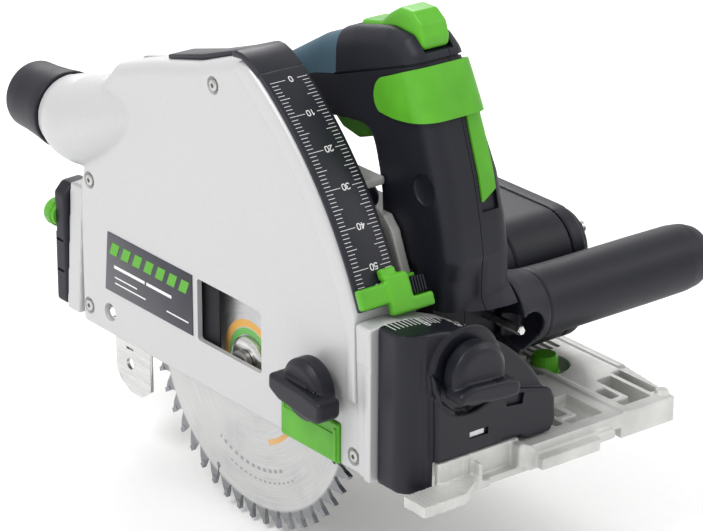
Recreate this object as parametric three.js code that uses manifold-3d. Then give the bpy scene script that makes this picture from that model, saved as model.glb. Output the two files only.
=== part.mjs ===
// Track plunge saw: guard, bevel brackets and base plate around a plunging motor unit.
// Millimetres, +Z up. The model is drawn about a datum: x = 0 on the guard cover's outer face with
// +X towards the motor, y = 0 at the arbor when plunged with +Y to the rear, z = 0 on the sole.
// The outer group moves that datum so that the origin lies on the sole, beside the guard.
import * as THREE from 'three';
import { mergeVertices } from 'three/addons/utils/BufferGeometryUtils.js';
import Module from 'manifold-3d';

const wasm = await Module();
wasm.setup();

// Driving dimensions
const ORIGIN_X = 90;
const GAP = 0.3;
const BLADE_X = 10.7;
const BLADE_R = 80;
const BLADE_T = 1.8;
const BLADE_TEETH = 48;
const ARBOR = [0, 20];
const PIVOT = [115, 45];
const BAND_C = [88, 4];
const BAND_R = 200.5;
const GUARD_OUT = 0;
const RIM_OUT = -4;
const GUARD_IN = 21;
const WALL = 2.4;
const BEVEL_AXIS = [10.7, 2];
const BRACKET_C = [6, -6];
const BRACKET_R = 82.5;
const SEGMENT_R = 81;
const PLATE_TOP = 12;
const PLATE_X = [26, 155];
const CAM_X = 126.5;
const CAM_Y = [-71, 104];
const PLATE_Y = [-134, 160];
const WALL_Y = -129.5;
const GEAR_MODULE = 1.1;
const SPINDLE_TEETH = 28;
const LAY_PINION_TEETH = 12;
const LAY_WHEEL_TEETH = 30;
const MOTOR_PINION_TEETH = 10;
const LAY_AXIS = [-16.5, 34.5];
const MOTOR_AXIS = [-33, 49];
const HANDLE_X = 58;
const HANDLE_HALF = 18;
const BAR_Y = -94;
const BAR_Z = 58;
const BAR_R = 16.5;
const HOUSING = { y0: -76.5, y1: 9.5, z0: 18, z1: 83.5, r: 20 };
const FAN_TOP = 79.5;
const NOZZLE = { x: 10, z: 100.8, r: 17.2 };
const KEY = { x: 70.5, z: 60, r: 2.5 };
// The guard's top and rear edge, from the foot of the rear wall to the front arc
const GUARD_EDGE = [
  [128, 1.5], [128, 66], [125, 80], [116, 112], [95, 142], [62, 150.5], [29.6, 158.5], [-3, 169.6], [-12, 170.2],
];
const FRONT_ARC = [124.4, 157.2];
const FRONT_Y = -94.7;
// Straight slot in the guard frame that the spindle nose travels in
const ARBOR_SLOT = [-20.5, 24, 1, 100];
const ARM_X = [26, 39.7];
// Radius about the scale's centre that stays clear of the depth stop, and the plunge in degrees
const STOP_CLEAR_R = 192;
const PLUNGE_MAX = 30;
// Above the waist the handle narrows and leans towards the guard
const WAIST_Z = 122;
const HEAD = { z: 190, centre: 53, half: 13.4 };
const PALM_ROUND = 7;

// Finishes: colour, roughness, metalness
const finish = (color, roughness, metalness) => ({ color, roughness, metalness });
const COVER = finish('#cfcfce', 0.42, 0.35);
const CAST = finish('#c9c9c6', 0.5, 0.55);
const NAVY = finish('#23232f', 0.5, 0);
const GREEN = finish('#6dbe2e', 0.4, 0);
const TEAL = finish('#587582', 0.6, 0);
const SCALE = finish('#2b2c36', 0.55, 0);
const STEEL = finish('#9d9d9b', 0.3, 0.9);
const BRIGHT = finish('#c4c4c2', 0.22, 1);
const COPPER = finish('#a5582e', 0.4, 0.8);
const CARBON = finish('#3a3a3c', 0.6, 0.3);
const BOARD = finish('#2f6b45', 0.6, 0);

// Solids
const solid = (geometry) => {
  const bare = geometry.index ? geometry.toNonIndexed() : geometry;
  bare.deleteAttribute('normal');
  bare.deleteAttribute('uv');
  const merged = mergeVertices(bare, 1e-4);
  const vertProperties = new Float32Array(merged.attributes.position.array);
  const triVerts = new Uint32Array(merged.index.array);
  return new wasm.Manifold(new wasm.Mesh({ numProp: 3, vertProperties, triVerts }));
};
const box = (x0, x1, y0, y1, z0, z1) => {
  const geometry = new THREE.BoxGeometry(x1 - x0, y1 - y0, z1 - z0);
  geometry.translate((x0 + x1) / 2, (y0 + y1) / 2, (z0 + z1) / 2);
  return solid(geometry);
};
const union = (...parts) => parts.reduce((sum, part) => sum.add(part));
const cut = (body, ...tools) => tools.reduce((rest, tool) => rest.subtract(tool), body);

// Local x, y, z of a profile's extrusion sent to model axes; the third is the way it is extruded
const TO_X = new THREE.Matrix4().set(0, 0, 1, 0, 1, 0, 0, 0, 0, 1, 0, 0, 0, 0, 0, 1);
const TO_Y = new THREE.Matrix4().set(0, 1, 0, 0, 0, 0, 1, 0, 1, 0, 0, 0, 0, 0, 0, 1);
const TO_Z = new THREE.Matrix4();

const shapeOf = (points) => new THREE.Shape(points.map(([a, b]) => new THREE.Vector2(a, b)));
const extrude = (shape, from, to, basis, segments = 8) => {
  const depth = to - from;
  const geometry = new THREE.ExtrudeGeometry(shape, { depth, bevelEnabled: false, curveSegments: segments });
  geometry.translate(0, 0, from);
  geometry.applyMatrix4(basis);
  return solid(geometry);
};
// Side profile in (y, z), extruded along x
const sideProfile = (points, x0, x1) => extrude(shapeOf(points), x0, x1, TO_X);
// Front profile in (x, z), extruded along y
const frontProfile = (points, y0, y1) =>
  extrude(shapeOf(points.map(([x, z]) => [z, x])), y0, y1, TO_Y);
// Plan profile in (x, y), extruded along z
const planProfile = (points, z0, z1) => extrude(shapeOf(points), z0, z1, TO_Z);

// Outline helpers
const arc = (centre, radius, from, to, steps) => {
  const points = [];
  for (let i = 0; i <= steps; i += 1) {
    const angle = THREE.MathUtils.degToRad(from + ((to - from) * i) / steps);
    points.push([centre[0] + radius * Math.cos(angle), centre[1] + radius * Math.sin(angle)]);
  }
  return points;
};
const roundedRect = (a0, a1, b0, b1, r, steps = 5) => [
  ...arc([a1 - r, b1 - r], r, 0, 90, steps),
  ...arc([a0 + r, b1 - r], r, 90, 180, steps),
  ...arc([a0 + r, b0 + r], r, 180, 270, steps),
  ...arc([a1 - r, b0 + r], r, 270, 360, steps),
];

// Round bars along an axis, from one end to the other
const turned = (sections, steps, basis, a, b) => {
  const profile = [new THREE.Vector2(0, sections[0][0])];
  sections.forEach(([at, radius]) => profile.push(new THREE.Vector2(radius, at)));
  profile.push(new THREE.Vector2(0, sections[sections.length - 1][0]));
  const geometry = new THREE.LatheGeometry(profile, steps);
  geometry.rotateX(Math.PI / 2);
  geometry.translate(a, b, 0);
  geometry.applyMatrix4(basis);
  return solid(geometry);
};
const alongX = (y, z, sections, steps = 20) => turned(sections, steps, TO_X, y, z);
const alongY = (x, z, sections, steps = 20) => turned(sections, steps, TO_Y, z, x);
const alongZ = (x, y, sections, steps = 20) => turned(sections, steps, TO_Z, x, y);
const rodX = (y, z, r, x0, x1, steps = 20) => alongX(y, z, [[x0, r], [x1, r]], steps);
const rodY = (x, z, r, y0, y1, steps = 20) => alongY(x, z, [[y0, r], [y1, r]], steps);
const rodZ = (x, y, r, z0, z1, steps = 20) => alongZ(x, y, [[z0, r], [z1, r]], steps);
const ringX = (y, z, outer, inner, x0, x1, steps = 20) =>
  cut(rodX(y, z, outer, x0, x1, steps), rodX(y, z, inner, x0 - 1, x1 + 1, steps));

// The hull of several round bars of one length along x
const barHull = (circles, x0, x1, steps = 20) => {
  const points = circles.flatMap(([y, z, r]) => arc([y, z], r, 0, 360 - 360 / steps, steps - 1));
  return sideProfile(convexOutline(points), x0, x1);
};
const convexOutline = (points) => {
  const sorted = [...points].sort((p, q) => p[0] - q[0] || p[1] - q[1]);
  const turn = (o, p, q) => (p[0] - o[0]) * (q[1] - o[1]) - (p[1] - o[1]) * (q[0] - o[0]);
  const chain = (list) => {
    const side = [];
    list.forEach((point) => {
      while (side.length > 1 && turn(side[side.length - 2], side[side.length - 1], point) <= 1e-6) side.pop();
      side.push(point);
    });
    side.pop();
    return side;
  };
  return [...chain(sorted), ...chain(sorted.reverse())];
};

const model = new THREE.Group();
const datum = new THREE.Group();
datum.position.set(-ORIGIN_X, 0, 0);
model.add(datum);
const add = (name, body, { color, roughness, metalness }) => {
  const mesh = body.getMesh();
  const positions = new Float32Array(mesh.numProp === 3 ? mesh.vertProperties : []);
  const geometry = new THREE.BufferGeometry();
  geometry.setAttribute('position', new THREE.BufferAttribute(positions, 3));
  geometry.setIndex(new THREE.BufferAttribute(new Uint32Array(mesh.triVerts), 1));
  const material = new THREE.MeshStandardMaterial({ color, roughness, metalness });
  const part = new THREE.Mesh(geometry, material);
  part.name = name;
  datum.add(part);
};

// ---------------------------------------------------------------- base

const basePlate = () => {
  const [x0, x1] = PLATE_X;
  const [y0, y1] = PLATE_Y;
  const outline = [[x0, WALL_Y], [64, WALL_Y], [64, y0], [150, y0], [x1, -98], [x1, y1 - 14], [x1 - 14, y1], [x0, y1]];
  let plate = planProfile(outline, 0, PLATE_TOP);
  // Room for the gear case, which drops past the sole's level when the saw is plunged
  plate = plate.subtract(box(x0 - 1, 62, -48, 36, -1, PLATE_TOP + 1));
  // Front foot to the left of the blade line, a little clear of the sole's plane
  plate = plate.add(planProfile([[-3, -143], [20, -143], [34, -134], [34, -128], [-3, -128]], 0.4, 5.5));
  plate = plate.add(box(15.8, 64, -134, -129, 0.4, 3.6));
  plate = plate.add(box(66, 101, -140, -133, 1.5, 7));
  // Raised wall under the front bracket's outer face
  plate = plate.add(box(15.8, 60.7, WALL_Y, -125.9, 2, 15.2));
  // Rail channel along the sole
  plate = plate.subtract(box(100, 118, y0 - 20, y1 + 1, -1, 5.4));
  // Pockets between ribs at the front right, shallower over the rail channel
  const pockets = [
    [145, 149.6, -124, -97, 2.5], [133.5, 142, -127, -99, 2.5], [125, 134, -127, -121.5, 2.5],
    [125, 130.5, -118.5, -107, 2.5], [102, 112.5, -127, -102, 6.6], [93.5, 103, -127, -121.5, 6.6],
    [93.5, 99, -118.5, -108.5, 6.6], [86, 90.5, -125, -116.5, 6.6],
  ];
  pockets.forEach(([a0, a1, b0, b1, low]) => {
    plate = plate.subtract(box(a0, a1, b0, b1, low, PLATE_TOP + 1));
  });
  // Recesses for the two rail cams, and their bores
  CAM_Y.forEach((y) => {
    plate = plate.subtract(rodZ(CAM_X, y, 12, 7, PLATE_TOP + 1, 24));
    plate = plate.subtract(rodZ(CAM_X, y, 4.4, -1, PLATE_TOP, 16));
  });
  return plate;
};

const railCam = (y) => union(
  alongZ(CAM_X, y, [[7.4, 7.4], [9, 7.4], [9.2, 6.4], [16.8, 6.2], [17.4, 5.4]], 20),
  rodZ(CAM_X, y, 4, 0.5, 7.6, 16),
);

const frontBracket = () => {
  const y0 = -127.5;
  const y1 = -105.4;
  const top = arc(BRACKET_C, BRACKET_R, 94, 30, 14);
  const outline = [
    [0, 2], [15.5, 2], [15.5, 15.5], [62, 15.5], [66, 12.4], [80, 12.4], [83, 16], [82, 30], [77, 35],
    ...top.reverse(),
  ];
  let bracket = frontProfile(outline.reverse(), y0, y1);
  // Foot screwed to the plate
  bracket = bracket.add(box(28, 62, y0 + 2, y1 - 1, PLATE_TOP + GAP, 17));
  // The clamp screw's hole
  bracket = bracket.subtract(rodY(32, 56, 5, y0 - 1, y1 + 1, 20));
  return bracket;
};

const rearBracket = () => {
  const top = arc([10.7, 2], 66, 62, 20, 8);
  let bracket = frontProfile([[28, PLATE_TOP + GAP], [74, PLATE_TOP + GAP], ...top.reverse()].reverse(), 152, 159);
  bracket = bracket.add(box(40, 74, 139.6, 152.5, PLATE_TOP + GAP, 18));
  bracket = bracket.subtract(rodY(46, 40, 5, 150, 160, 20));
  return bracket;
};

const clampKnob = (x, z, y0, direction) => {
  const at = (distance) => y0 + direction * distance;
  const sections = [[0, 16], [3, 16.5], [7, 15], [8.5, 12.5]].map(([d, r]) => [at(d), r]);
  const ring = alongY(x, z, direction > 0 ? sections : sections.reverse(), 28);
  const [a, b] = [at(7), at(18)].sort((p, q) => p - q);
  const wing = frontProfile(roundedRect(x - 17, x + 17, z - 4.5, z + 4.5, 4), a, b);
  return ring.add(wing);
};

const clampScrew = (x, z, y0, y1) => rodY(x, z, 3.6, y0, y1, 16);

// ---------------------------------------------------------------- guard

const guardCover = () => {
  // Outer wall, front, rear and top edges: open towards the motor and below
  const outline = [...GUARD_EDGE, ...arc(BAND_C, BAND_R - 2.5, ...FRONT_ARC, 12), [FRONT_Y, 60], [FRONT_Y, 1.5]];
  const inner = [
    [125.4, 0], [125.4, 66], [122.4, 79], [113.6, 110.6], [93.6, 139.6], [61.4, 148.2], [28.8, 157],
    [-3.4, 167], [-12, 167.6], ...arc(BAND_C, BAND_R - 4.4, 125, 155, 12), [-91.6, 58], [-91.6, 0],
  ];
  let cover = sideProfile(outline, GUARD_OUT, 17.6);
  cover = cover.subtract(sideProfile(inner, GUARD_OUT + WALL, 30));
  // Raised rim round the front arc
  const rim = [
    ...arc(BAND_C, BAND_R - 2.5, ...FRONT_ARC, 12), [FRONT_Y, 60], [FRONT_Y, 42], [-84, 42],
    ...arc(BAND_C, BAND_R - 17, 162, 126, 12),
  ];
  cover = cover.add(sideProfile(rim, RIM_OUT, GUARD_OUT + 1));
  // Sight window and splinter guard opening
  cover = cover.subtract(box(-6, 4, -21.7, 27.9, 24, 54.7));
  cover = cover.subtract(box(-6, 4, -80.5, -37.5, 0, 21.5));
  // Dust ball behind the neck, bored through for the air
  cover = cover.add(alongY(NOZZLE.x, NOZZLE.z, [
    [100, 10.2], [112, 16], [117, 19.5], [124, 21.3], [132, 21.7], [140, 20.6], [146, 18.6], [147, 17.9],
  ], 28));
  cover = cover.subtract(rodY(NOZZLE.x, NOZZLE.z, 15.2, 131, 150, 24));
  cover = cover.subtract(box(3, 17, 96, 132, NOZZLE.z - 11, NOZZLE.z + 11));
  cover = cover.subtract(box(17.6, 40, 100, 127.6, 60, 140));
  // Bosses for the cover screws
  coverScrewPlaces.forEach(([y, z]) => {
    cover = cover.add(rodX(y, z, 4, GUARD_OUT + 1, bossEnd(z), 12));
    cover = cover.subtract(rodX(y, z, 1.6, -8, 20, 12));
    cover = cover.subtract(rodX(y, z, 3.2, -8, GUARD_OUT + 1.6, 16));
  });
  // Hole for the splinter guard's knob spigot
  cover = cover.subtract(rodX(-68.5, 36.5, 3.4, -8, 10, 16));
  return cover;
};
const coverScrewPlaces = [[116, 76.4], [119, 10.6], [13, 152.5], [-89.4, 8.7]];

// The boss near the top stops short of the raised blade
const bossEnd = (z) => (z > 150 ? 6 : 17.6);
const coverScrew = ([y, z]) => union(
  rodX(y, z, 2.8, GUARD_OUT - 0.4, GUARD_OUT + 1.3, 12),
  rodX(y, z, 1.3, GUARD_OUT + 1, bossEnd(z) - 1, 8),
);

const guardFrame = () => {
  const outline = [
    [127, 2], [127, 65], [124, 79], [115, 111], [94, 141], [61.6, 149.4], [29.2, 157.4], [-3, 168.4], [-11, 169],
    ...arc(BAND_C, BAND_R - 4, 126, 156.8, 12), [-94.4, 60], [-94.4, 2],
  ];
  let frame = sideProfile(outline, 17.9, GUARD_IN);
  const [s0, s1, s2, s3] = ARBOR_SLOT;
  frame = frame.subtract(box(17, 22, s0, s1, -1, s3));
  // Pivot boss, and the lugs that carry the tilt segments and the riving knife
  frame = frame.add(rodX(PIVOT[0], PIVOT[1], 11, 20, 25, 24));
  frame = frame.subtract(rodX(PIVOT[0], PIVOT[1], 5.3, 0, 30, 20));
  frame = frame.subtract(box(17, 22, -83, -35, -1, 24));
  return frame;
};

const frontSegment = () => {
  const top = arc(BRACKET_C, SEGMENT_R, 96, 34, 14);
  const outline = [[-2.4, 2.2], [14, 2.2], [17.5, 15], [70, 15], ...top.reverse()];
  let segment = frontProfile(outline.reverse(), -105.1, -95);
  // Slot for the clamp screw
  segment = segment.subtract(tiltSlot(32, 56, 5, -106, -94));
  return segment;
};
// Curved slot along which a clamp screw travels as the guard tilts
const tiltSlot = (x, z, r, y0, y1) => {
  const radius = Math.hypot(x - BEVEL_AXIS[0], z - BEVEL_AXIS[1]);
  const angle = THREE.MathUtils.radToDeg(Math.atan2(z - BEVEL_AXIS[1], x - BEVEL_AXIS[0]));
  // The guard turns towards -X, so the screw runs the other way in the slot
  const from = angle - 48.5;
  const to = angle + 2.5;
  const outline = [...arc(BEVEL_AXIS, radius + r, from, to, 10), ...arc(BEVEL_AXIS, radius - r, to, from, 10)];
  const ends = [from, to].map((at) => {
    const [cx, cz] = arc(BEVEL_AXIS, radius, at, at, 1)[0];
    return rodY(cx, cz, r, y0, y1, 16);
  });
  return union(frontProfile(outline.reverse(), y0, y1), ...ends);
};

const rearSegment = () => {
  const top = arc([10.7, 2], 66, 96, 22, 12);
  let segment = frontProfile([[0, 3], [14, 3], [17, 15], [70, 15], ...top.reverse()].reverse(), 128.3, 139);
  segment = segment.subtract(tiltSlot(46, 40, 5, 127, 160));
  return segment;
};

const rearCover = () => {
  const outline = [[0.5, 4], [16, 4], [16, 66.5], [0.5, 64]];
  return frontProfile(outline, 139.3, 149);
};

// Green button at the rear that frees the last degree at each end of the tilt
const undercutRelease = () => alongY(5, 48, [[149.4, 6.2], [151, 7.4], [156, 7.7], [158.5, 5.6]], 20);

const depthBand = () => {
  const thick = 2.2;
  // Cap along the guard's top edge, then the scale round the front arc
  const outline = [
    [57, 153.8], [29.6, 160.6], [-3, 171.7], [-12.4, 172.3],
    ...arc(BAND_C, BAND_R, 124.2, 158.6, 20),
    ...arc(BAND_C, BAND_R - thick, 158.6, 124.2, 20),
    [-12, 170.6], [-3, 170], [29.6, 158.9], [57, 152.1],
  ];
  return sideProfile(outline, -3, GUARD_IN);
};

const splinterGuard = () => union(
  box(-1.6, 2, -80, -38, 1.5, 21),
  box(1.5, 8.6, -79, -39, 1.5, 8),
);
const splinterKnob = () => union(
  alongX(-68.5, 36.5, [[-15, 9], [-13.6, 13.5], [-5, 15], [-0.4 + RIM_OUT + 0.1, 15]].map(([x, r]) => [x, r]), 28),
  sideProfile(roundedRect(-86, -51, 32, 41, 4), -15, RIM_OUT - 0.4),
  rodX(-68.5, 36.5, 3, RIM_OUT - 1, 6, 12),
);

// Outline of a sector between two radii and two angles measured up from the front
const sector = (r0, r1, from, to, steps) => [
  ...arc(BAND_C, r0, 180 - from, 180 - to, steps),
  ...arc(BAND_C, r1, 180 - to, 180 - from, steps),
];
const depthStop = () => {
  const outside = BAND_R + 5.5;
  const bar = sideProfile(sector(BAND_R + 0.7, BAND_R + 5, 22.6, 25.2, 3), RIM_OUT, 14);
  const body = sideProfile(sector(BAND_R + 0.7, outside, 21, 26, 3), 11, 22.5);
  const pointer = sideProfile(sector(BAND_R + 0.7, BAND_R + 5, 25.8, 26.9, 1), 10, 18);
  const ear = sideProfile(sector(194, outside, 21, 25.6, 3), GUARD_IN + 0.4, 23);
  const foot = sideProfile(sector(194, outside, 21, 22.6, 2), 22, 33.5);
  const back = sideProfile(sector(194, 195.6, 21, 25.4, 3), 22, 33.5);
  return union(bar, body, pointer, ear, foot, back);
};
const depthStopButton = () => union(
  sideProfile(sector(197.2, BAND_R + 4.5, 22.9, 25, 2), 23.4, 31.5),
  ...[0, 1, 2].map((i) =>
    sideProfile(sector(BAND_R + 4, BAND_R + 5.3, 23, 24.9, 1), 24.2 + i * 2.4, 25.6 + i * 2.4)),
);

const rivingKnife = () => {
  const outline = [
    [111.6, -5.7], [111.3, -21.8], [108, -26.5], [99.7, -31.2], [90, -31], [82.4, -25.5], [82.4, -6],
    [84, 1], [88, 4], [114, 4], [114, -2],
  ];
  const blade = sideProfile(outline, BLADE_X - 0.9, BLADE_X + 0.9);
  return cut(blade, rodX(99.5, -16.3, 3, 0, 20, 16));
};

const dustNozzle = () => {
  const { x, z, r } = NOZZLE;
  const outer = alongY(x, z, [[133, 14.6], [147.4, 14.6], [147.5, r], [176, r], [178, r - 0.8]], 28);
  return outer.subtract(rodY(x, z, 12.6, 130, 180, 24));
};

const plungePin = () => union(
  rodX(PIVOT[0], PIVOT[1], 5, 14.5, 44, 20),
  rodX(PIVOT[0], PIVOT[1], 8.5, 44 - 0.5, 46.5, 20),
);

const returnSpring = () => {
  // A torsion coil beside the arm, round the end of the pivot pin's sleeve
  const turns = 3;
  const steps = turns * 12;
  const points = [];
  for (let i = 0; i <= steps; i += 1) {
    const angle = (i / 12) * Math.PI * 2;
    points.push(new THREE.Vector3(
      48.5 + (i / steps) * 7.5,
      PIVOT[0] + 8 * Math.cos(angle),
      PIVOT[1] + 8 * Math.sin(angle),
    ));
  }
  const path = new THREE.CatmullRomCurve3(points);
  const wire = new THREE.Shape();
  wire.absarc(0, 0, 0.9, 0, Math.PI * 2, false);
  const options = { steps, extrudePath: path, curveSegments: 3 };
  return solid(new THREE.ExtrudeGeometry(wire, options));
};

// ---------------------------------------------------------------- motor unit

const gearCase = () => {
  const circles = [[ARBOR[0], ARBOR[1], 19], [LAY_AXIS[0], LAY_AXIS[1], 21], [MOTOR_AXIS[0], MOTOR_AXIS[1], 15]];
  let body = barHull(circles, 24, 56);
  // Fan chamber flange that meets the motor housing
  const { y0, y1, z0, r } = HOUSING;
  body = body.add(sideProfile(roundedRect(y0, y1, z0, FAN_TOP, r), 56, 76));
  // Arm to the plunge pivot and the open frame above the gears
  const arm = [
    [PIVOT[0] + 11, PIVOT[1] - 4], [PIVOT[0] + 9, PIVOT[1] + 8], [60, 72], [20, 84], [-30, 100],
    [-46, 107], [-66, 107], [-72, 101], [-80, 82], [-60, 60], [-40, 45], [0, 30], [60, 28], [PIVOT[0], PIVOT[1] - 12],
  ];
  body = body.add(sideProfile(arm.reverse(), ...ARM_X));
  // Windows in the frame, which leave ribs
  const windows = [
    [[-62, 98], [-50, 98], [-46, 84], [-66, 82]],
    [[-38, 92], [-14, 84], [-14, 64], [-38, 72]],
    [[-4, 78], [24, 71], [24, 52], [-4, 52]],
    [[34, 68], [64, 60], [88, 54], [88, 44], [34, 44]],
  ];
  windows.forEach((points) => {
    body = body.subtract(sideProfile(points.reverse(), ARM_X[0] + 3, ARM_X[1] + 1));
  });
  // Nose with the front spindle bearing's seat
  body = body.add(rodX(ARBOR[0], ARBOR[1], 17, 16.6, 25, 28));
  // Cavities for gears, and the fan chamber
  const gears = [[ARBOR[0], ARBOR[1], 16.8], [LAY_AXIS[0], LAY_AXIS[1], 18], [MOTOR_AXIS[0], MOTOR_AXIS[1], 12]];
  body = body.subtract(barHull(gears, 26.6, 55));
  body = body.subtract(sideProfile(roundedRect(y0 + 3, y1 - 3, z0 + 3, FAN_TOP - 3, r - 3), 58.2, 77));
  body = body.subtract(barHull(gears.slice(1), 54, 59));
  body = body.subtract(rodX(ARBOR[0], ARBOR[1], 7.6, 10, 30, 24));
  body = body.subtract(rodX(ARBOR[0], ARBOR[1], 13.3, 18.6, 27, 24));
  body = body.subtract(rodX(LAY_AXIS[0], LAY_AXIS[1], 3.6, 24.8, 30, 16));
  body = body.subtract(rodX(PIVOT[0], PIVOT[1], 5.3, 20, 50, 20));
  body = body.intersect(sideProfile(arc(BAND_C, STOP_CLEAR_R, 0, 350, 48), 0, 100));
  // The arm steps in beside the depth stop, wherever the stop and the plunge are set
  const [dy, dz] = [BAND_C[0] - PIVOT[0], BAND_C[1] - PIVOT[1]];
  const reach = Math.hypot(dy, dz);
  const rest = THREE.MathUtils.radToDeg(Math.atan2(dz, dy));
  for (let raised = 5; raised <= PLUNGE_MAX; raised += 5) {
    const [centre] = arc(PIVOT, reach, rest + raised, rest + raised, 1);
    const outside = sideProfile(arc(centre, 260, 100, 200, 24).concat(arc(centre, STOP_CLEAR_R, 200, 100, 24)), 0, 34.2);
    body = body.subtract(outside);
  }
  return body;
};

const bearingShield = () => {
  const holder = [[ARBOR[0], ARBOR[1], 11], [LAY_AXIS[0], LAY_AXIS[1], 10], [MOTOR_AXIS[0], MOTOR_AXIS[1], 14.5]];
  // A bridge across the gear case that holds the inner ends of all three shafts
  const { y0, y1, z0, r } = HOUSING;
  let shield = sideProfile(roundedRect(y0 + 3.4, y1 - 3.4, z0 + 3.4, FAN_TOP - 3.4, r - 3.4), 58.5, 61);
  shield = shield.add(barHull([holder[2]], 60, 65));
  shield = shield.subtract(rodX(MOTOR_AXIS[0], MOTOR_AXIS[1], 11.3, 60.6, 70, 24));
  shield = shield.subtract(rodX(MOTOR_AXIS[0], MOTOR_AXIS[1], 6.6, 50, 70, 20));
  shield = shield.subtract(rodX(LAY_AXIS[0], LAY_AXIS[1], 3.6, 50, 62, 16));
  return shield;
};

const motorHousing = () => {
  const { y0, y1, z0, z1, r } = HOUSING;
  let body = sideProfile(roundedRect(y0, y1, z0, z1, r), 76.3, 138);
  body = body.subtract(sideProfile(roundedRect(y0 + 3, y1 - 3, z0 + 3, z1 - 3, r - 3), 70, 139));
  // Air slots at the far end, on top and at the rear
  for (let i = 0; i < 5; i += 1) {
    body = body.subtract(box(112 + i * 5, 114.2 + i * 5, -30, 2, 74, 90));
    body = body.subtract(box(112 + i * 5, 114.2 + i * 5, 0, 20, 36, 62));
  }
  return body;
};

const motorEndCap = () => {
  const { y0, y1, z0, z1, r } = HOUSING;
  let cap = sideProfile(roundedRect(y0, y1, z0, z1, r), 138.3, 146);
  cap = cap.add(sideProfile(roundedRect(y0 + 3.5, y1 - 3.5, z0 + 3.5, z1 - 3.5, r - 3), 146, 151.5));
  cap = cap.subtract(sideProfile(roundedRect(y0 + 3, y1 - 3, z0 + 3, z1 - 3, r - 3), 130, 143));
  cap = cap.add(rodX(MOTOR_AXIS[0], MOTOR_AXIS[1], 12.5, 138.4, 144, 24));
  cap = cap.subtract(rodX(MOTOR_AXIS[0], MOTOR_AXIS[1], 9.3, 130, 144, 24));
  return cap;
};

const handleOuter = [
  [-103, 50], [-103.6, 84], [-108.5, 92], [-104.5, 109], [-99, 129], [-91, 151.5], [-85, 170], [-81.5, 181],
  [-75, 188], [-60, 189.5], [-36, 184.5], [-12, 174.5], [26, 153], [60, 127], [82, 106], [94, 93], [94, 80.5],
  [-77.5, 80.5], [-77.5, 50],
];
const handleInner = [
  [-58, 104], [-56.5, 120], [-51, 139], [-44, 142.5], [-14, 138.5], [12, 128], [40, 112], [56, 98], [52, 92],
  [-30, 92], [-50, 96],
];

const lean = (geometry) => {
  const place = geometry.attributes.position;
  for (let i = 0; i < place.count; i += 1) {
    const part = Math.max(0, (place.getZ(i) - WAIST_Z) / (HEAD.z - WAIST_Z));
    const centre = HANDLE_X + part * (HEAD.centre - HANDLE_X);
    const scale = 1 + part * (HEAD.half / HANDLE_HALF - 1);
    place.setX(i, centre + (place.getX(i) - HANDLE_X) * scale);
  }
};

const handleBody = () => {
  const outline = shapeOf(handleOuter.slice().reverse());
  const bevel = PALM_ROUND;
  const geometry = new THREE.ExtrudeGeometry(insetOutline(outline, bevel), {
    depth: 2 * (HANDLE_HALF - bevel), bevelEnabled: true, bevelThickness: bevel, bevelSize: bevel,
    bevelOffset: 0, bevelSegments: 3, curveSegments: 1,
  });
  geometry.translate(0, 0, HANDLE_X - (HANDLE_HALF - bevel));
  geometry.applyMatrix4(TO_X);
  lean(geometry);
  let handle = solid(geometry);
  handle = handle.subtract(sideProfile(handleInner, 30, 90));
  return handle;
};
// A closed outline moved inwards by one distance, corner by corner
const insetOutline = (shape, distance) => {
  const points = shape.getPoints();
  if (points[0].distanceTo(points[points.length - 1]) < 1e-6) points.pop();
  const area = THREE.ShapeUtils.area(points);
  const sign = area > 0 ? 1 : -1;
  const count = points.length;
  const inner = points.map((point, i) => {
    const before = points[(i + count - 1) % count];
    const after = points[(i + 1) % count];
    const d1 = point.clone().sub(before).normalize();
    const d2 = after.clone().sub(point).normalize();
    const n1 = new THREE.Vector2(-d1.y, d1.x).multiplyScalar(sign);
    const n2 = new THREE.Vector2(-d2.y, d2.x).multiplyScalar(sign);
    const middle = n1.clone().add(n2).normalize();
    const reach = distance / Math.max(0.5, middle.dot(n1));
    return point.clone().addScaledVector(middle, reach);
  });
  return new THREE.Shape(inner);
};

// Pockets that the two shells share
const handleCavities = () => [
  // Switch block, trigger and slider
  sideProfile([[-42, 145], [-2, 144], [11.5, 138.5], [11.5, 149], [-2, 158], [-42, 164]], 47, 65),
  box(49, 65, -41, -2, 120, 152),
  box(45.2, 60.8, -82, -33, 181, 200),
  // Speed board behind the dial
  box(46, 70, 10, 54, 84.5, 89.5),
  rodX(30, 87, 6, 68.5, 80, 20),
];

const handleShell = (left) => {
  const [x0, x1] = left ? [30, HANDLE_X - GAP / 2] : [HANDLE_X + GAP / 2, 90];
  let shell = handleBody().intersect(box(x0, x1, -140, 120, 30, 200));
  handleCavities().forEach((cavity) => {
    shell = shell.subtract(cavity);
  });
  // Room for the front tilt segment, and the hex key's pocket
  shell = shell.subtract(box(30, 90, -115, -94.4, 40, 70));
  shell = shell.subtract(rodY(KEY.x, KEY.z, KEY.r + 0.4, -110, -79.5, 12));
  // Seat of the teal grip band on the rear top of the grip
  shell = shell.subtract(sideProfile(GRIP_SEAT.slice().reverse(), 38, 78));
  // Power inlet at the rear end
  shell = shell.subtract(rodY(HANDLE_X, 92, 9.4, 70, 110, 20));
  shell = shell.subtract(box(60, 90, 74, 100, 40, 84));
  return shell;
};

// The teal band over the rear top of the grip, set into the shells
const GRIP_SEAT = [[-10, 180], [29, 157], [60, 131], [84, 107], [78, 100], [56, 121], [26, 143], [-12, 165]];
const GRIP_BAND = [
  [-9.4, 180], [29, 157], [60, 131], [83.4, 107], [78.2, 100.5], [56.3, 121.5], [26.2, 143.5], [-11.4, 165.4],
];
const gripBand = () => handleBody().intersect(sideProfile(GRIP_BAND.slice().reverse(), 38.2, 77.8));

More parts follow.
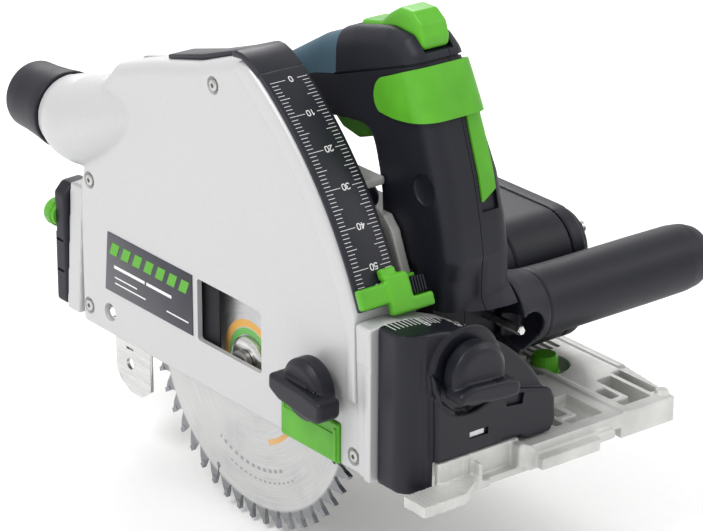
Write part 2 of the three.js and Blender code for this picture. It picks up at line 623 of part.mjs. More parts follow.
// The green lever: a yoke that stands proud round the column, and a strip down its front
const bladeLever = () => {
  const yoke = sideProfile([[-55, 168.5], [-87.4, 171], [-95.2, 150], [-55, 154]].reverse(), 37.8, 76);
  const column = sideProfile([
    [-40, 200], [-72, 194], [-85.6, 170], [-91.6, 151.5], [-99.6, 129], [-40, 129],
  ], 39.2, 74.6);
  const strip = sideProfile([
    [-91.8, 151.5], [-99.6, 129], [-105, 110.5], [-108.4, 111.4], [-107, 115.6], [-93.8, 152.5],
  ], 61, 70);
  return union(yoke.subtract(column), strip);
};

const frontHandle = () => {
  const sections = [
    [76.3, 20.6], [82, 19.4], [88, 17.8], [98, 16.5], [116, 16.1], [186, 15.8], [193, 14.2], [198, 10.6], [200.5, 5],
  ];
  let bar = alongX(BAR_Y, BAR_Z, sections, 28);
  bar = bar.subtract(box(70, 230, -77.2, -60, 30, 90));
  return bar;
};

// A domed pad on the head of the handle, with a thin tongue to the rear
const plungeRelease = () => sideProfile([
  [-79.5, 181.5], [-79.5, 189], [-77, 195], [-71, 199], [-62, 199], [-55, 194.5], [-50, 188.5], [-35, 186],
  [-35, 181.5],
].reverse(), 45.6, 60.4);

const trigger = () => sideProfile([
  [-39, 146], [-39, 138], [-35, 131], [-27, 128.5], [-16, 130], [-8, 136], [-5, 146],
].reverse(), 49.5, 64.5);

const switchBlock = () => sideProfile([
  [-40, 152.5], [-4, 149], [10, 141], [10, 147], [-4, 156], [-40, 162],
], 48, 64);

const speedBoard = () => box(47, 69, 12, 50, 85, 87.5);

const speedDial = () => rodX(30, 87, 5.6, 69.3, 77, 20);

const powerInlet = () => union(
  rodY(HANDLE_X, 92, 9, 82, 97, 20),
).subtract(rodY(HANDLE_X, 92, 6.2, 86, 99, 20));

const stator = () => {
  const { y0, y1, z0, z1, r } = HOUSING;
  const core = sideProfile(roundedRect(y0 + 3.5, y1 - 3.5, z0 + 3.5, z1 - 3.5, r - 3.5), 78, 110);
  return core.subtract(rodX(MOTOR_AXIS[0], MOTOR_AXIS[1], 21.5, 70, 120, 28));
};
const brushCarrier = () => {
  const [y, z] = MOTOR_AXIS;
  const ring = ringX(y, z, 26, 22, 117, 127, 28);
  const brushes = [-1, 1].map((side) => {
    const [near, far] = [y + side * 13.2, y + side * 34].sort((p, q) => p - q);
    return box(117, 127, near, far, z - 4.5, z + 4.5);
  });
  return union(ring, ...brushes);
};
const spindleBearing = () => ringX(...ARBOR, 13, 6.2, 18.9, 26.2);
const motorBearingFront = () => ringX(...MOTOR_AXIS, 11, 4.6, 60.9, 65);
const motorBearingRear = () => ringX(...MOTOR_AXIS, 9, 4.6, 136, 142.6);

// ---------------------------------------------------------------- turning parts

const sawBlade = () => {
  const points = [];
  for (let i = 0; i < BLADE_TEETH; i += 1) {
    const start = (i / BLADE_TEETH) * 360;
    const step = 360 / BLADE_TEETH;
    [[0, BLADE_R], [0.1, BLADE_R - 5.4], [0.45, BLADE_R - 5.2]].forEach(([part, r]) => {
      points.push(arc(ARBOR, r, start + part * step, start, 1)[0]);
    });
  }
  const disc = sideProfile(points, BLADE_X - BLADE_T / 2, BLADE_X + BLADE_T / 2);
  return disc.subtract(rodX(ARBOR[0], ARBOR[1], 4.4, 0, 20, 16));
};
const innerFlange = () => ringX(ARBOR[0], ARBOR[1], 15, 5.2, 11.9, 15.9, 28);
const outerFlange = () => ringX(ARBOR[0], ARBOR[1], 15, 4.4, 6.6, 9.5, 28);
const arborBolt = () => union(
  rodX(ARBOR[0], ARBOR[1], 7, 3.2, 6.3, 6),
  rodX(ARBOR[0], ARBOR[1], 4, 6, 11.4, 16),
);
const spindle = () => alongX(ARBOR[0], ARBOR[1], [
  [11.8, 4.6], [16.2, 4.6], [16.3, 5.8], [38, 5.8], [38.2, 4], [52, 4],
], 20);

const gearOutline = ([y, z], teeth, offset = 0) => {
  const pitch = (GEAR_MODULE * teeth) / 2;
  const [root, tip] = [pitch - 0.85 * GEAR_MODULE, pitch + 0.62 * GEAR_MODULE];
  const step = 360 / teeth;
  const points = [];
  for (let i = 0; i < teeth; i += 1) {
    const middle = offset + i * step;
    [[-0.33, root], [-0.12, tip], [0.12, tip], [0.33, root]].forEach(([part, r]) => {
      points.push(arc([y, z], r, middle + part * step, middle, 1)[0]);
    });
  }
  return points;
};
// Tooth offsets that put a tooth of one gear in a gap of the next
const lineAngle = (from, to) => THREE.MathUtils.radToDeg(Math.atan2(to[1] - from[1], to[0] - from[0]));
const LINE = lineAngle(ARBOR, LAY_AXIS);
const SPINDLE_OFFSET = LINE;
const LAY_PINION_OFFSET = LINE + 180 + 180 / LAY_PINION_TEETH;
const LINE2 = lineAngle(LAY_AXIS, MOTOR_AXIS);
const LAY_WHEEL_OFFSET = LINE2;
const MOTOR_PINION_OFFSET = LINE2 + 180 + 180 / MOTOR_PINION_TEETH;

const spindleGear = () => sideProfile(gearOutline(ARBOR, SPINDLE_TEETH, SPINDLE_OFFSET), 28, 37)
  .subtract(rodX(ARBOR[0], ARBOR[1], 6.1, 20, 40, 20));
const layshaft = () => union(
  rodX(...LAY_AXIS, 3.2, 25.2, 60.6, 16),
  sideProfile(gearOutline(LAY_AXIS, LAY_PINION_TEETH, LAY_PINION_OFFSET), 27.6, 38),
  sideProfile(gearOutline(LAY_AXIS, LAY_WHEEL_TEETH, LAY_WHEEL_OFFSET), 44.5, 52.5),
);
const armatureShaft = () => union(
  alongX(MOTOR_AXIS[0], MOTOR_AXIS[1], [[53, 4.2], [142.2, 4.2]], 16),
  sideProfile(gearOutline(MOTOR_AXIS, MOTOR_PINION_TEETH, MOTOR_PINION_OFFSET), 44.5, 54),
);
const armatureCore = () => ringX(MOTOR_AXIS[0], MOTOR_AXIS[1], 20.5, 4.5, 79, 109, 28);
const commutator = () => ringX(MOTOR_AXIS[0], MOTOR_AXIS[1], 12.6, 4.5, 115, 129, 24);
const coolingFan = () => {
  let fan = ringX(MOTOR_AXIS[0], MOTOR_AXIS[1], 26, 4.5, 68, 70, 24);
  fan = fan.add(ringX(MOTOR_AXIS[0], MOTOR_AXIS[1], 8, 4.5, 68, 75, 20));
  for (let i = 0; i < 11; i += 1) {
    const blade = new THREE.BoxGeometry(5.5, 18, 1.4);
    blade.translate(72.5, 16.5, 0);
    blade.rotateX((i / 11) * Math.PI * 2);
    blade.translate(0, MOTOR_AXIS[0], MOTOR_AXIS[1]);
    fan = fan.add(solid(blade));
  }
  return fan;
};

// ---------------------------------------------------------------- assembly

add('base_plate', basePlate(), CAST);
add('rail_cam_front', railCam(CAM_Y[0]), GREEN);
add('rail_cam_rear', railCam(CAM_Y[1]), GREEN);
add('front_bevel_bracket', frontBracket(), NAVY);
add('rear_bevel_bracket', rearBracket(), NAVY);
add('front_bevel_knob', union(clampKnob(32, 56, -128.2, -1), clampScrew(32, 56, -129, -94.8)), NAVY);
add('rear_bevel_knob', union(clampKnob(46, 40, 160, 1), clampScrew(46, 40, 127, 161)), NAVY);

add('guard_cover', guardCover(), COVER);
add('guard_frame', guardFrame(), CAST);
add('front_tilt_segment', frontSegment(), CAST);
add('rear_tilt_segment', rearSegment(), CAST);
add('rear_cover', rearCover(), NAVY);
add('undercut_release', undercutRelease(), GREEN);
add('depth_scale_band', depthBand(), SCALE);
coverScrewPlaces.forEach((place, i) => add(`cover_screw_${i + 1}`, coverScrew(place), STEEL));
add('rating_label', box(-0.5, -0.1, 32, 101, 24, 55), SCALE);
add('splinter_guard', splinterGuard(), GREEN);
add('splinter_guard_knob', splinterKnob(), NAVY);
add('depth_stop', depthStop(), GREEN);
add('depth_stop_button', depthStopButton(), NAVY);
add('riving_knife', rivingKnife(), STEEL);
add('dust_nozzle', dustNozzle(), NAVY);
add('plunge_pin', plungePin(), STEEL);
add('plunge_return_spring', returnSpring(), STEEL);

add('gear_case', gearCase(), CAST);
add('bearing_shield', bearingShield(), CAST);
add('motor_housing', motorHousing(), NAVY);
add('motor_end_cap', motorEndCap(), NAVY);
add('handle_left', handleShell(true), NAVY);
add('handle_right', handleShell(false), NAVY);
add('grip_band', gripBand(), TEAL);
add('front_handle', frontHandle(), NAVY);
add('plunge_release', plungeRelease(), GREEN);
add('trigger', trigger(), GREEN);
add('blade_change_lever', bladeLever(), GREEN);
add('switch_block', switchBlock(), NAVY);
add('speed_board', speedBoard(), BOARD);
add('speed_dial', speedDial(), NAVY);
add('power_inlet', powerInlet(), NAVY);
add('hex_key', rodY(KEY.x, KEY.z, KEY.r, -119, -80, 6), BRIGHT);
add('stator', stator(), STEEL);
add('brush_carrier', brushCarrier(), CARBON);
add('spindle_bearing', spindleBearing(), BRIGHT);
add('motor_bearing_front', motorBearingFront(), BRIGHT);
add('motor_bearing_rear', motorBearingRear(), BRIGHT);

add('saw_blade', sawBlade(), BRIGHT);
add('inner_flange', innerFlange(), STEEL);
add('outer_flange', outerFlange(), STEEL);
add('arbor_bolt', arborBolt(), STEEL);
add('spindle', spindle(), STEEL);
add('spindle_gear', spindleGear(), STEEL);
add('layshaft', layshaft(), STEEL);
add('armature_shaft', armatureShaft(), STEEL);
add('armature_core', armatureCore(), COPPER);
add('commutator', commutator(), COPPER);
add('cooling_fan', coolingFan(), NAVY);

export default model;
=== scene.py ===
"""Looks for the track plunge saw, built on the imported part's frame.
Lengths are millimetres from the part's datum and become metres when a mesh is made."""
import math
import random
import bmesh
import bpy
from mathutils import Matrix, Vector


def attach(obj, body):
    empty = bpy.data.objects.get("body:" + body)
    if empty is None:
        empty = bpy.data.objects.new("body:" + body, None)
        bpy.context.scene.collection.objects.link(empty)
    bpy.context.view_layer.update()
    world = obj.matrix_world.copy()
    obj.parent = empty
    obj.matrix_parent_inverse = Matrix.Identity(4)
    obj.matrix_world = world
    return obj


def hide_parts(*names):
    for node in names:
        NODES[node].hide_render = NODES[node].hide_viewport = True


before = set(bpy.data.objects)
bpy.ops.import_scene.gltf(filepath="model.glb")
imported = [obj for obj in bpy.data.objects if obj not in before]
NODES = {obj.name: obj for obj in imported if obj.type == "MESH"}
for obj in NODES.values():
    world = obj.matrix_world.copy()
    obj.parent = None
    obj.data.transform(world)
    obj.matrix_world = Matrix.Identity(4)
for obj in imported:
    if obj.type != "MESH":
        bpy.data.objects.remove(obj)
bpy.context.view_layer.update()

ORIGIN_X = 90.0
BAND_C = (88.0, 4.0)
BAND_R = 200.5
ARBOR = (0.0, 20.0)
BLADE_X = 10.7
HANDLE_X = 58.0
CAM_X = 126.5
RAISED_BLADE = (2.9, 80.85)
BLADE_CLEARANCE_R = 81.2
NAVY, SILVER, CAST, GREEN = "navy_plastic", "cover_silver", "cast_metal", "green_plastic"
TEAL, SCALE, STEEL, BRIGHT = "teal_grip", "scale_black", "dark_steel", "bright_steel"


def point(x, y, z):
    return Vector(((x - ORIGIN_X) / 1000, y / 1000, z / 1000))


# ------------------------------------------------------------------ meshes

def add_mesh(name, verts, faces):
    """A closed mesh from points in datum millimetres."""
    mesh = bpy.data.meshes.new(name)
    mesh.from_pydata([point(*v) for v in verts], [], faces)
    obj = bpy.data.objects.new(name, mesh)
    bpy.context.scene.collection.objects.link(obj)
    b = bmesh.new()
    b.from_mesh(mesh)
    bmesh.ops.recalc_face_normals(b, faces=b.faces)
    b.to_mesh(mesh)
    b.free()
    return obj


ORDER = {"x": lambda a, b, t: (t, a, b), "y": lambda a, b, t: (a, t, b), "z": lambda a, b, t: (a, b, t)}


def prism(outline, axis, t0, t1, bevel=0.0, steps=3, sharp=30):
    """An outline pushed along one axis, its edges rounded."""
    n = len(outline)
    verts = [ORDER[axis](a, b, t0) for a, b in outline] + [ORDER[axis](a, b, t1) for a, b in outline]
    faces = [tuple(range(n)), tuple(range(n, 2 * n))]
    faces += [(i, (i + 1) % n, n + (i + 1) % n, n + i) for i in range(n)]
    obj = add_mesh("prism", verts, faces)
    if bevel:
        round_edges(obj, bevel, steps, sharp)
    return obj


def slab(x0, x1, y0, y1, z0, z1, bevel=0.0, steps=3):
    return prism([(x0, y0), (x1, y0), (x1, y1), (x0, y1)], "z", z0, z1, bevel, steps)


def lathe(axis, centre, sections, steps=48):
    """A round body from (place along the axis, radius) pairs."""
    a, b = centre
    verts, faces = [], []
    for t, r in sections:
        for i in range(steps):
            turn = 2 * math.pi * i / steps
            verts.append(ORDER[axis](a + r * math.cos(turn), b + r * math.sin(turn), t))
    for s in range(len(sections) - 1):
        for i in range(steps):
            j = (i + 1) % steps
            faces.append((s * steps + i, s * steps + j, (s + 1) * steps + j, (s + 1) * steps + i))
    faces.append(tuple(range(steps)))
    faces.append(tuple(range((len(sections) - 1) * steps, len(sections) * steps)))
    return add_mesh("turned", verts, faces)


def rod(axis, centre, radius, t0, t1, steps=32):
    return lathe(axis, centre, [(t0, radius), (t1, radius)], steps)


def arc(centre, radius, start, end, steps):
    """Points round a centre, angles in degrees."""
    out = []
    for i in range(steps + 1):
        turn = math.radians(start + (end - start) * i / steps)
        out.append((centre[0] + radius * math.cos(turn), centre[1] + radius * math.sin(turn)))
    return out


def rounded(a0, a1, b0, b1, r, steps=6):
    return (arc((a1 - r, b1 - r), r, 0, 90, steps) + arc((a0 + r, b1 - r), r, 90, 180, steps)
            + arc((a0 + r, b0 + r), r, 180, 270, steps) + arc((a1 - r, b0 + r), r, 270, 360, steps))


def ring_part(r0, r1, low, high, steps=12):
    """A piece of the depth band's ring between two angles measured up from the front."""
    return arc(BAND_C, r0, 180 - low, 180 - high, steps) + arc(BAND_C, r1, 180 - high, 180 - low, steps)


def bake(obj):
    """Makes a piece's modifiers part of its mesh."""
    bpy.context.view_layer.update()
    graph = bpy.context.evaluated_depsgraph_get()
    mesh = bpy.data.meshes.new_from_object(obj.evaluated_get(graph))
    obj.modifiers.clear()
    obj.data = mesh
    return obj


def round_edges(obj, width, steps=3, sharp=30):
    mod = obj.modifiers.new("rounded", "BEVEL")
    mod.width = width / 1000
    mod.segments = steps
    mod.limit_method = "ANGLE"
    mod.angle_limit = math.radians(sharp)
    mod.use_clamp_overlap = True
    return bake(obj)


def drop(*objs):
    for obj in objs:
        bpy.data.objects.remove(obj)


def solid(obj, kind, *others):
    """Adds, cuts or keeps the overlap of solid pieces, and uses the others up."""
    for other in others:
        mod = obj.modifiers.new(kind.lower(), "BOOLEAN")
        mod.operation = kind
        mod.solver = "EXACT"
        mod.object = other
        bake(obj)
    drop(*others)
    return obj


def cut(obj, *others):
    return solid(obj, "DIFFERENCE", *others)


def crisp(obj, kind, *others):
    """Works on a dense, closed piece without softening its edges, and uses the others up."""
    for other in others:
        mod = obj.modifiers.new(kind.lower(), "BOOLEAN")
        mod.operation = kind
        mod.solver = "MANIFOLD"
        mod.object = other
        bake(obj)
    drop(*others)
    return obj


def cut_fast(obj, *others):
    return crisp(obj, "DIFFERENCE", *others)


def clone(obj):
    other = obj.copy()
    other.data = obj.data.copy()
    bpy.context.scene.collection.objects.link(other)
    return other


def join(*objs):
    """Puts pieces into one mesh without changing their shapes."""
    b = bmesh.new()
    for obj in objs:
        b.from_mesh(obj.data)
    mesh = bpy.data.meshes.new("joined")
    b.to_mesh(mesh)
    b.free()
    first = objs[0]
    drop(*objs[1:])
    first.data = mesh
    return first


def mould(obj, voxel=0.9, passes=5):
    """Runs joined closed pieces into one skin with soft edges, as a moulding has."""
    mod = obj.modifiers.new("skin", "REMESH")
    mod.mode = "VOXEL"
    mod.voxel_size = voxel * 1.0 / 1000
    soft = obj.modifiers.new("soft", "SMOOTH")
    soft.factor = 0.5
    soft.iterations = passes
    return bake(obj)


def copy_of(node):
    """A free copy of a CAD node's mesh."""
    obj = bpy.data.objects.new(node + "_look", NODES[node].data.copy())
    obj.data.materials.clear()
    bpy.context.scene.collection.objects.link(obj)
    return obj


def bend(obj, change):
    """Moves every point of a piece; change takes and gives datum millimetres."""
    for v in obj.data.vertices:
        x, y, z = v.co.x * 1000 + ORIGIN_X, v.co.y * 1000, v.co.z * 1000
        v.co = point(*change(x, y, z))
    return obj


def finish_piece(obj, name, body, slot, paint, stands_for=(), crease=40):
    name = name.replace(", ", "_").replace(" ", "_")
    obj.name = name
    obj.data.name = name
    obj.data.materials.clear()
    obj.data.materials.append(paint.material)
    obj.data.polygons.foreach_set("material_index", [0] * len(obj.data.polygons))
    obj.data.shade_smooth()
    obj.data.set_sharp_from_angle(angle=math.radians(crease))
    obj.data.update()
    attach(obj, body)
    if stands_for:
        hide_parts(*stands_for)
    return obj


# ------------------------------------------------------------------ marks

STROKES = {
    "0": [[(.15, 0), (.45, 0), (.6, .2), (.6, .8), (.45, 1), (.15, 1), (0, .8), (0, .2), (.15, 0)]],
    "1": [[(.1, .78), (.35, 1), (.35, 0)]],
    "2": [[(0, .8), (.15, 1), (.45, 1), (.6, .8), (.6, .62), (0, 0), (.6, 0)]],
    "3": [[(0, .88), (.15, 1), (.45, 1), (.6, .85), (.6, .66), (.42, .53), (.6, .38), (.6, .15), (.45, 0),
           (.15, 0), (0, .12)]],
    "4": [[(.45, 0), (.45, 1), (0, .3), (.62, .3)]],
    "5": [[(.55, 1), (.08, 1), (.04, .55), (.4, .6), (.6, .42), (.6, .16), (.42, 0), (.12, 0), (0, .12)]],
}


def mark_lines(lines, width, place):
    """Thin raised strokes: lines hold (u, v) points, and place turns (u, v, height) into datum points."""
    verts, faces = [], []
    count = 0
    for line in lines:
        for (u0, v0), (u1, v1) in zip(line, line[1:]):
            du, dv = u1 - u0, v1 - v0
            length = math.hypot(du, dv) or 1
            du, dv = du / length * width / 2, dv / length * width / 2
            base = len(verts)
            high = 0.06 + 0.008 * (count % 4)
            corners = [(u0 - du - dv, v0 - dv + du), (u0 - du + dv, v0 - dv - du),
                       (u1 + du + dv, v1 + dv - du), (u1 + du - dv, v1 + dv + du)]
            for level in (-0.2, high):
                verts += [place(u, v, level) for u, v in corners]
            faces += [(base, base + 1, base + 2, base + 3), (base + 4, base + 5, base + 6, base + 7)]
            faces += [(base + i, base + (i + 1) % 4, base + 4 + (i + 1) % 4, base + 4 + i) for i in range(4)]
            count += 1
    return add_mesh("marks", verts, faces)


def digit_lines(text, u, v, height, right=(1, 0), up=(0, 1)):
    """Strokes of a number centred on (u, v)."""
    step = 0.85
    total = step * (len(text) - 1) + 0.6
    lines = []
    for i, char in enumerate(text):
        for stroke in STROKES[char]:
            line = []
            for a, b in stroke:
                across = (a + i * step - total / 2) * height
                along = (b - 0.5) * height
                line.append((u + right[0] * across + up[0] * along, v + right[1] * across + up[1] * along))
            lines.append(line)
    return lines


# ------------------------------------------------------------------ shader maths

class Value:
    """A number that varies over a surface."""

    def __init__(self, paint, socket):
        self.paint, self.socket = paint, socket

    def op(self, kind, *others):
        return self.paint.node("ShaderNodeMath", {"operation": kind}, {i: v for i, v in enumerate((self,) + others)})

    def __add__(self, o): return self.op("ADD", o)
    def __radd__(self, o): return self.op("ADD", o)
    def __sub__(self, o): return self.op("SUBTRACT", o)
    def __rsub__(self, o): return self.paint.number(o).op("SUBTRACT", self)
    def __mul__(self, o): return self.op("MULTIPLY", o)
    def __rmul__(self, o): return self.op("MULTIPLY", o)
    def __truediv__(self, o): return self.op("DIVIDE", o)
    def __rtruediv__(self, o): return self.paint.number(o).op("DIVIDE", self)
    def __pow__(self, o): return self.op("POWER", o)
    def __neg__(self): return self.op("MULTIPLY", -1.0)
    def __abs__(self): return self.op("ABSOLUTE")
    def __lt__(self, o): return self.op("LESS_THAN", o)
    def __gt__(self, o): return self.op("GREATER_THAN", o)
    def low(self, o): return self.op("MINIMUM", o)
    def high(self, o): return self.op("MAXIMUM", o)
    def root(self): return self.op("SQRT")
    def turn(self, o): return self.op("ARCTAN2", o)
    def sine(self): return self.op("SINE")

    def ramp(self, a, b, c=0.0, d=1.0):
        """Runs smoothly from c to d as this runs from a to b."""
        return self.paint.node("ShaderNodeMapRange", {"interpolation_type": "SMOOTHSTEP"},
                               {"Value": self, "From Min": a, "From Max": b, "To Min": c, "To Max": d})

    def band(self, a, b, soft):
        """1 between a and b, 0 outside."""
        return self.ramp(a - soft, a + soft) * self.ramp(b - soft, b + soft, 1.0, 0.0)


class Paint:
    """A material whose nodes are all made by node()."""

    def __init__(self, name):
        self.material = bpy.data.materials.new(name)
        self.material.use_nodes = True
        self.tree = self.material.node_tree
        self.tree.nodes.clear()
        self.shader = self.node("ShaderNodeBsdfPrincipled", out=None)
        self.node("ShaderNodeOutputMaterial", {}, {0: Value(self, self.shader.outputs[0])}, out=None)
        place = self.node("ShaderNodeTexCoord", out="Object")
        self.place = self.node("ShaderNodeVectorMath", {"operation": "MULTIPLY_ADD"},
                               {0: place, 1: (1000, 1000, 1000), 2: (ORIGIN_X, 0, 0)})
        parts = self.node("ShaderNodeSeparateXYZ", {}, {0: self.place}, out=None)
        self.x, self.y, self.z = (Value(self, parts.outputs[i]) for i in range(3))

    def node(self, kind, settings=None, sockets=None, out=0):
        made = self.tree.nodes.new(kind)
        for key, value in (settings or {}).items():
            setattr(made, key, value)
        for key, value in (sockets or {}).items():
            if isinstance(value, Value):
                self.tree.links.new(value.socket, made.inputs[key])
            else:
                made.inputs[key].default_value = value
        return made if out is None else Value(self, made.outputs[out])

    def number(self, value):
        return self.node("ShaderNodeMath", {"operation": "ADD"}, {0: value, 1: 0.0})

    def noise(self, size, detail=2.0, rough=0.5, place=None):
        """Noise between 0 and 1 whose features are about size millimetres across."""
        return self.node("ShaderNodeTexNoise", {"noise_dimensions": "3D"},
                         {"Vector": place or self.place, "Scale": 1.0 / size, "Detail": detail, "Roughness": rough})

    def cells(self, size, place=None):
        return self.node("ShaderNodeTexVoronoi", {"feature": "F1"},
                         {"Vector": place or self.place, "Scale": 1.0 / size}, out="Distance")

    def spot(self, x, y, z):
        return self.node("ShaderNodeCombineXYZ", {}, {0: x, 1: y, 2: z})

    def mix(self, part, a, b):
        """Colour a where part is 0, colour b where it is 1."""
        a, b = (colour if isinstance(colour, Value) else (*colour, 1.0) for colour in (a, b))
        return self.node("ShaderNodeMix", {"data_type": "RGBA"}, {0: part, 6: a, 7: b}, out=2)

    def edges(self):
        """Near 1 on outer edges of a dense mesh, near 0 elsewhere."""
        edge_wear_and_sheen = self.node("ShaderNodeNewGeometry", out="Pointiness")
        return edge_wear_and_sheen.ramp(0.53, 0.62)

    def set(self, **values):
        names = {"color": "Base Color", "rough": "Roughness", "metal": "Metallic", "coat": "Coat Weight",
                 "coat_rough": "Coat Roughness", "ior": "IOR", "specular": "Specular IOR Level"}
        for key, value in values.items():
            socket = self.shader.inputs[names[key]]
            if isinstance(value, Value):
                self.tree.links.new(value.socket, socket)
            else:
                socket.default_value = (*value, 1.0) if key == "color" and len(value) == 3 else value

    def bump(self, height, strength, distance=0.3):
        normal = self.node("ShaderNodeBump", {}, {"Strength": strength, "Distance": distance / 1000, "Height": height},
                           out="Normal")
        self.tree.links.new(normal.socket, self.shader.inputs["Normal"])


def rgb(code):
    """Linear colour from a hex code."""
    parts = [int(code[i:i + 2], 16) / 255 for i in (1, 3, 5)]
    return tuple(p / 12.92 if p <= 0.04045 else ((p + 0.055) / 1.055) ** 2.4 for p in parts)


def shade(colour, factor):
    return tuple(min(1.0, c * factor) for c in colour)


def plastic(name, code, grain=0.35, depth=0.35, rough=0.46, light=1.6):
    """Moulded plastic with a spark-eroded grain, faint handling shine and edges painted paler as a highlight."""
    p = Paint(name)
    base = rgb(code)
    cloud = p.noise(28, 3)
    edge_wear_and_sheen = p.edges()
    tone = p.mix(cloud.ramp(0.35, 0.7), shade(base, 0.88), shade(base, 1.12))
    # painted highlight: edges are lightened by the light factor as a sheen
    tone = p.mix(edge_wear_and_sheen * 0.5, tone, shade(base, light))
    grain_height = p.noise(grain, 3, 0.6) + p.cells(grain * 2.2) * 0.5
    p.set(color=tone, rough=(rough - 0.08) + cloud * 0.12 + grain_height * 0.05, specular=0.36)
    p.bump(grain_height, depth, 0.12)
    return p


def silver(name, code="#c6c6c7"):
    """Satin silver paint over a die casting: fine metal flake and a faint orange peel."""
    p = Paint(name)
    base = rgb(code)
    flake = p.cells(0.22)
    peel = p.noise(1.6, 2)
    cloud = p.noise(40, 2)
    tone = p.mix(flake.ramp(0.1, 0.7), shade(base, 1.05), shade(base, 0.9))
    tone = p.mix(cloud.ramp(0.4, 0.75) * 0.3, tone, shade(base, 0.93))
    p.set(color=tone, metal=0.25, rough=0.36 + flake * 0.1 + cloud * 0.06, coat=0.12, coat_rough=0.25)
    p.bump(peel + flake * 0.25, 0.12, 0.1)
    return p


def cast(name, code="#d0d0cd", rough=0.42):
    """Bead-blasted aluminium casting: pitted skin and brighter edges where it wears."""
    p = Paint(name)
    base = rgb(code)
    pits = p.cells(0.9)
    skin = p.noise(0.7, 4, 0.65)
    cloud = p.noise(18, 3)
    edge_wear_and_sheen = p.edges()
    tone = p.mix(cloud.ramp(0.3, 0.75), shade(base, 0.84), shade(base, 1.04))
    tone = p.mix(edge_wear_and_sheen * 0.6, tone, shade(base, 1.2))
    p.set(color=tone, metal=0.35, rough=rough + skin * 0.16 - edge_wear_and_sheen * 0.1)
    p.bump(skin + pits * 0.6, 0.4, 0.2)
    return p


def steel(name, code, rough=0.3, along="x"):
    """Turned or ground steel with fine grinding lines."""
    p = Paint(name)
    base = rgb(code)
    stretch = {"x": (0.06, 3.0, 3.0), "y": (3.0, 0.06, 3.0), "z": (3.0, 3.0, 0.06)}[along]
    lines = p.noise(1.0, 3, 0.6, p.node("ShaderNodeVectorMath", {"operation": "MULTIPLY"}, {0: p.place, 1: stretch}))
    cloud = p.noise(9, 2)
    tone = p.mix(lines.ramp(0.3, 0.7), shade(base, 0.82), shade(base, 1.12))
    p.set(color=tone, metal=1.0, rough=rough + lines * 0.14 + cloud * 0.05 - 0.05)
    p.bump(lines, 0.15, 0.1)
    return p


def grip_paint():
    """Soft teal rubber with a fine ribbed stipple, its hollows painted darker as shade."""
    p = Paint("teal rubber")
    base = rgb("#426070")
    dots = p.cells(0.8)
    cloud = p.noise(22, 2)
    tone = p.mix(cloud.ramp(0.3, 0.7), shade(base, 0.85), shade(base, 1.15))
    # painted shade: the hollows between the stipple's bumps are darkened
    tone = p.mix(dots.ramp(0.15, 0.6) * 0.35, tone, shade(base, 0.7))
    p.set(color=tone, rough=0.62 + dots * 0.12)
    p.bump(1.0 - dots, 0.3, 0.18)
    return p


def blade_paint():
    """Ground steel plate: circular grinding lines, a gold ring and plain printed arcs, a dark tooth rim that is partly
    its own finish and partly a painted dark reflection.
    """
    p = Paint("blade plate")
    dy, dz = p.y - ARBOR[0], p.z - ARBOR[1]
    r = (dy * dy + dz * dz).root()
    turn = dz.turn(dy)
    lines = p.noise(1.0, 3, 0.6, p.spot(r * 2.4, turn * 2.0, p.number(0.0)))
    cloud = p.noise(16, 3)
    tone = p.mix(lines.ramp(0.3, 0.7), rgb("#bebebe"), rgb("#cfcfce"))
    tone = p.mix(cloud.ramp(0.45, 0.8) * 0.35, tone, rgb("#a2a3a4"))
    ring = r.band(16.6, 20.2, 0.25)
    green = r.band(13.0, 16.2, 0.2)
    thin = r.band(37.0, 39.6, 0.25) * ((turn * 2.0 + 0.4).sine() > 0.3)
    dash = r.band(51.5, 53.2, 0.2) * ((turn * 74.0).sine() > -0.2) * ((turn * 3.0).sine() > 0.1)
    small = r.band(57.6, 58.6, 0.15) * ((turn * 96.0).sine() > 0.1) * ((turn * 3.0 + 0.5).sine() > 0.2)
    rim = r.ramp(70.5, 72.5)
    tone = p.mix(ring * 0.9, tone, rgb("#e0a534"))
    tone = p.mix(green * 0.9, tone, rgb("#57ad3a"))
    tone = p.mix(thin * 0.8, tone, rgb("#dca03a"))
    tone = p.mix((dash.high(small)) * 0.55, tone, rgb("#6e7074"))
    # the rim's dark tone is partly the blade's own darker rim and partly a painted dark reflection
    tone = p.mix(rim * 0.8, tone, rgb("#75777b"))
    paintwork = ring.high(green).high(thin)
    p.set(color=tone, metal=0.85 - paintwork * 0.75, rough=0.36 + lines * 0.08 + cloud * 0.06 + paintwork * 0.1)
    p.bump(lines, 0.06, 0.05)
    return p


def label_paint():
    p = Paint("label film")
    base = rgb("#1d1d2b")
    cloud = p.noise(14, 2)
    fine = p.noise(0.5, 2)
    p.set(color=p.mix(cloud.ramp(0.3, 0.7), shade(base, 0.9), shade(base, 1.3)), rough=0.34 + fine * 0.1, coat=0.2)
    p.bump(fine, 0.08, 0.05)
    return p


def ink(name, code):
    p = Paint(name)
    base = rgb(code)
    fine = p.noise(0.6, 2)
    p.set(color=p.mix(fine.ramp(0.25, 0.75), shade(base, 0.86), base), rough=0.5 + fine * 0.1)
    p.bump(fine, 0.1, 0.04)
    return p


def floor_paint():
    p = Paint("studio paper")
    fibre = p.noise(6, 4)
    p.set(color=p.mix(fibre, (0.93, 0.93, 0.93), (0.96, 0.96, 0.96)), rough=0.75 + fibre * 0.1)
    p.bump(fibre, 0.02, 0.3)
    return p


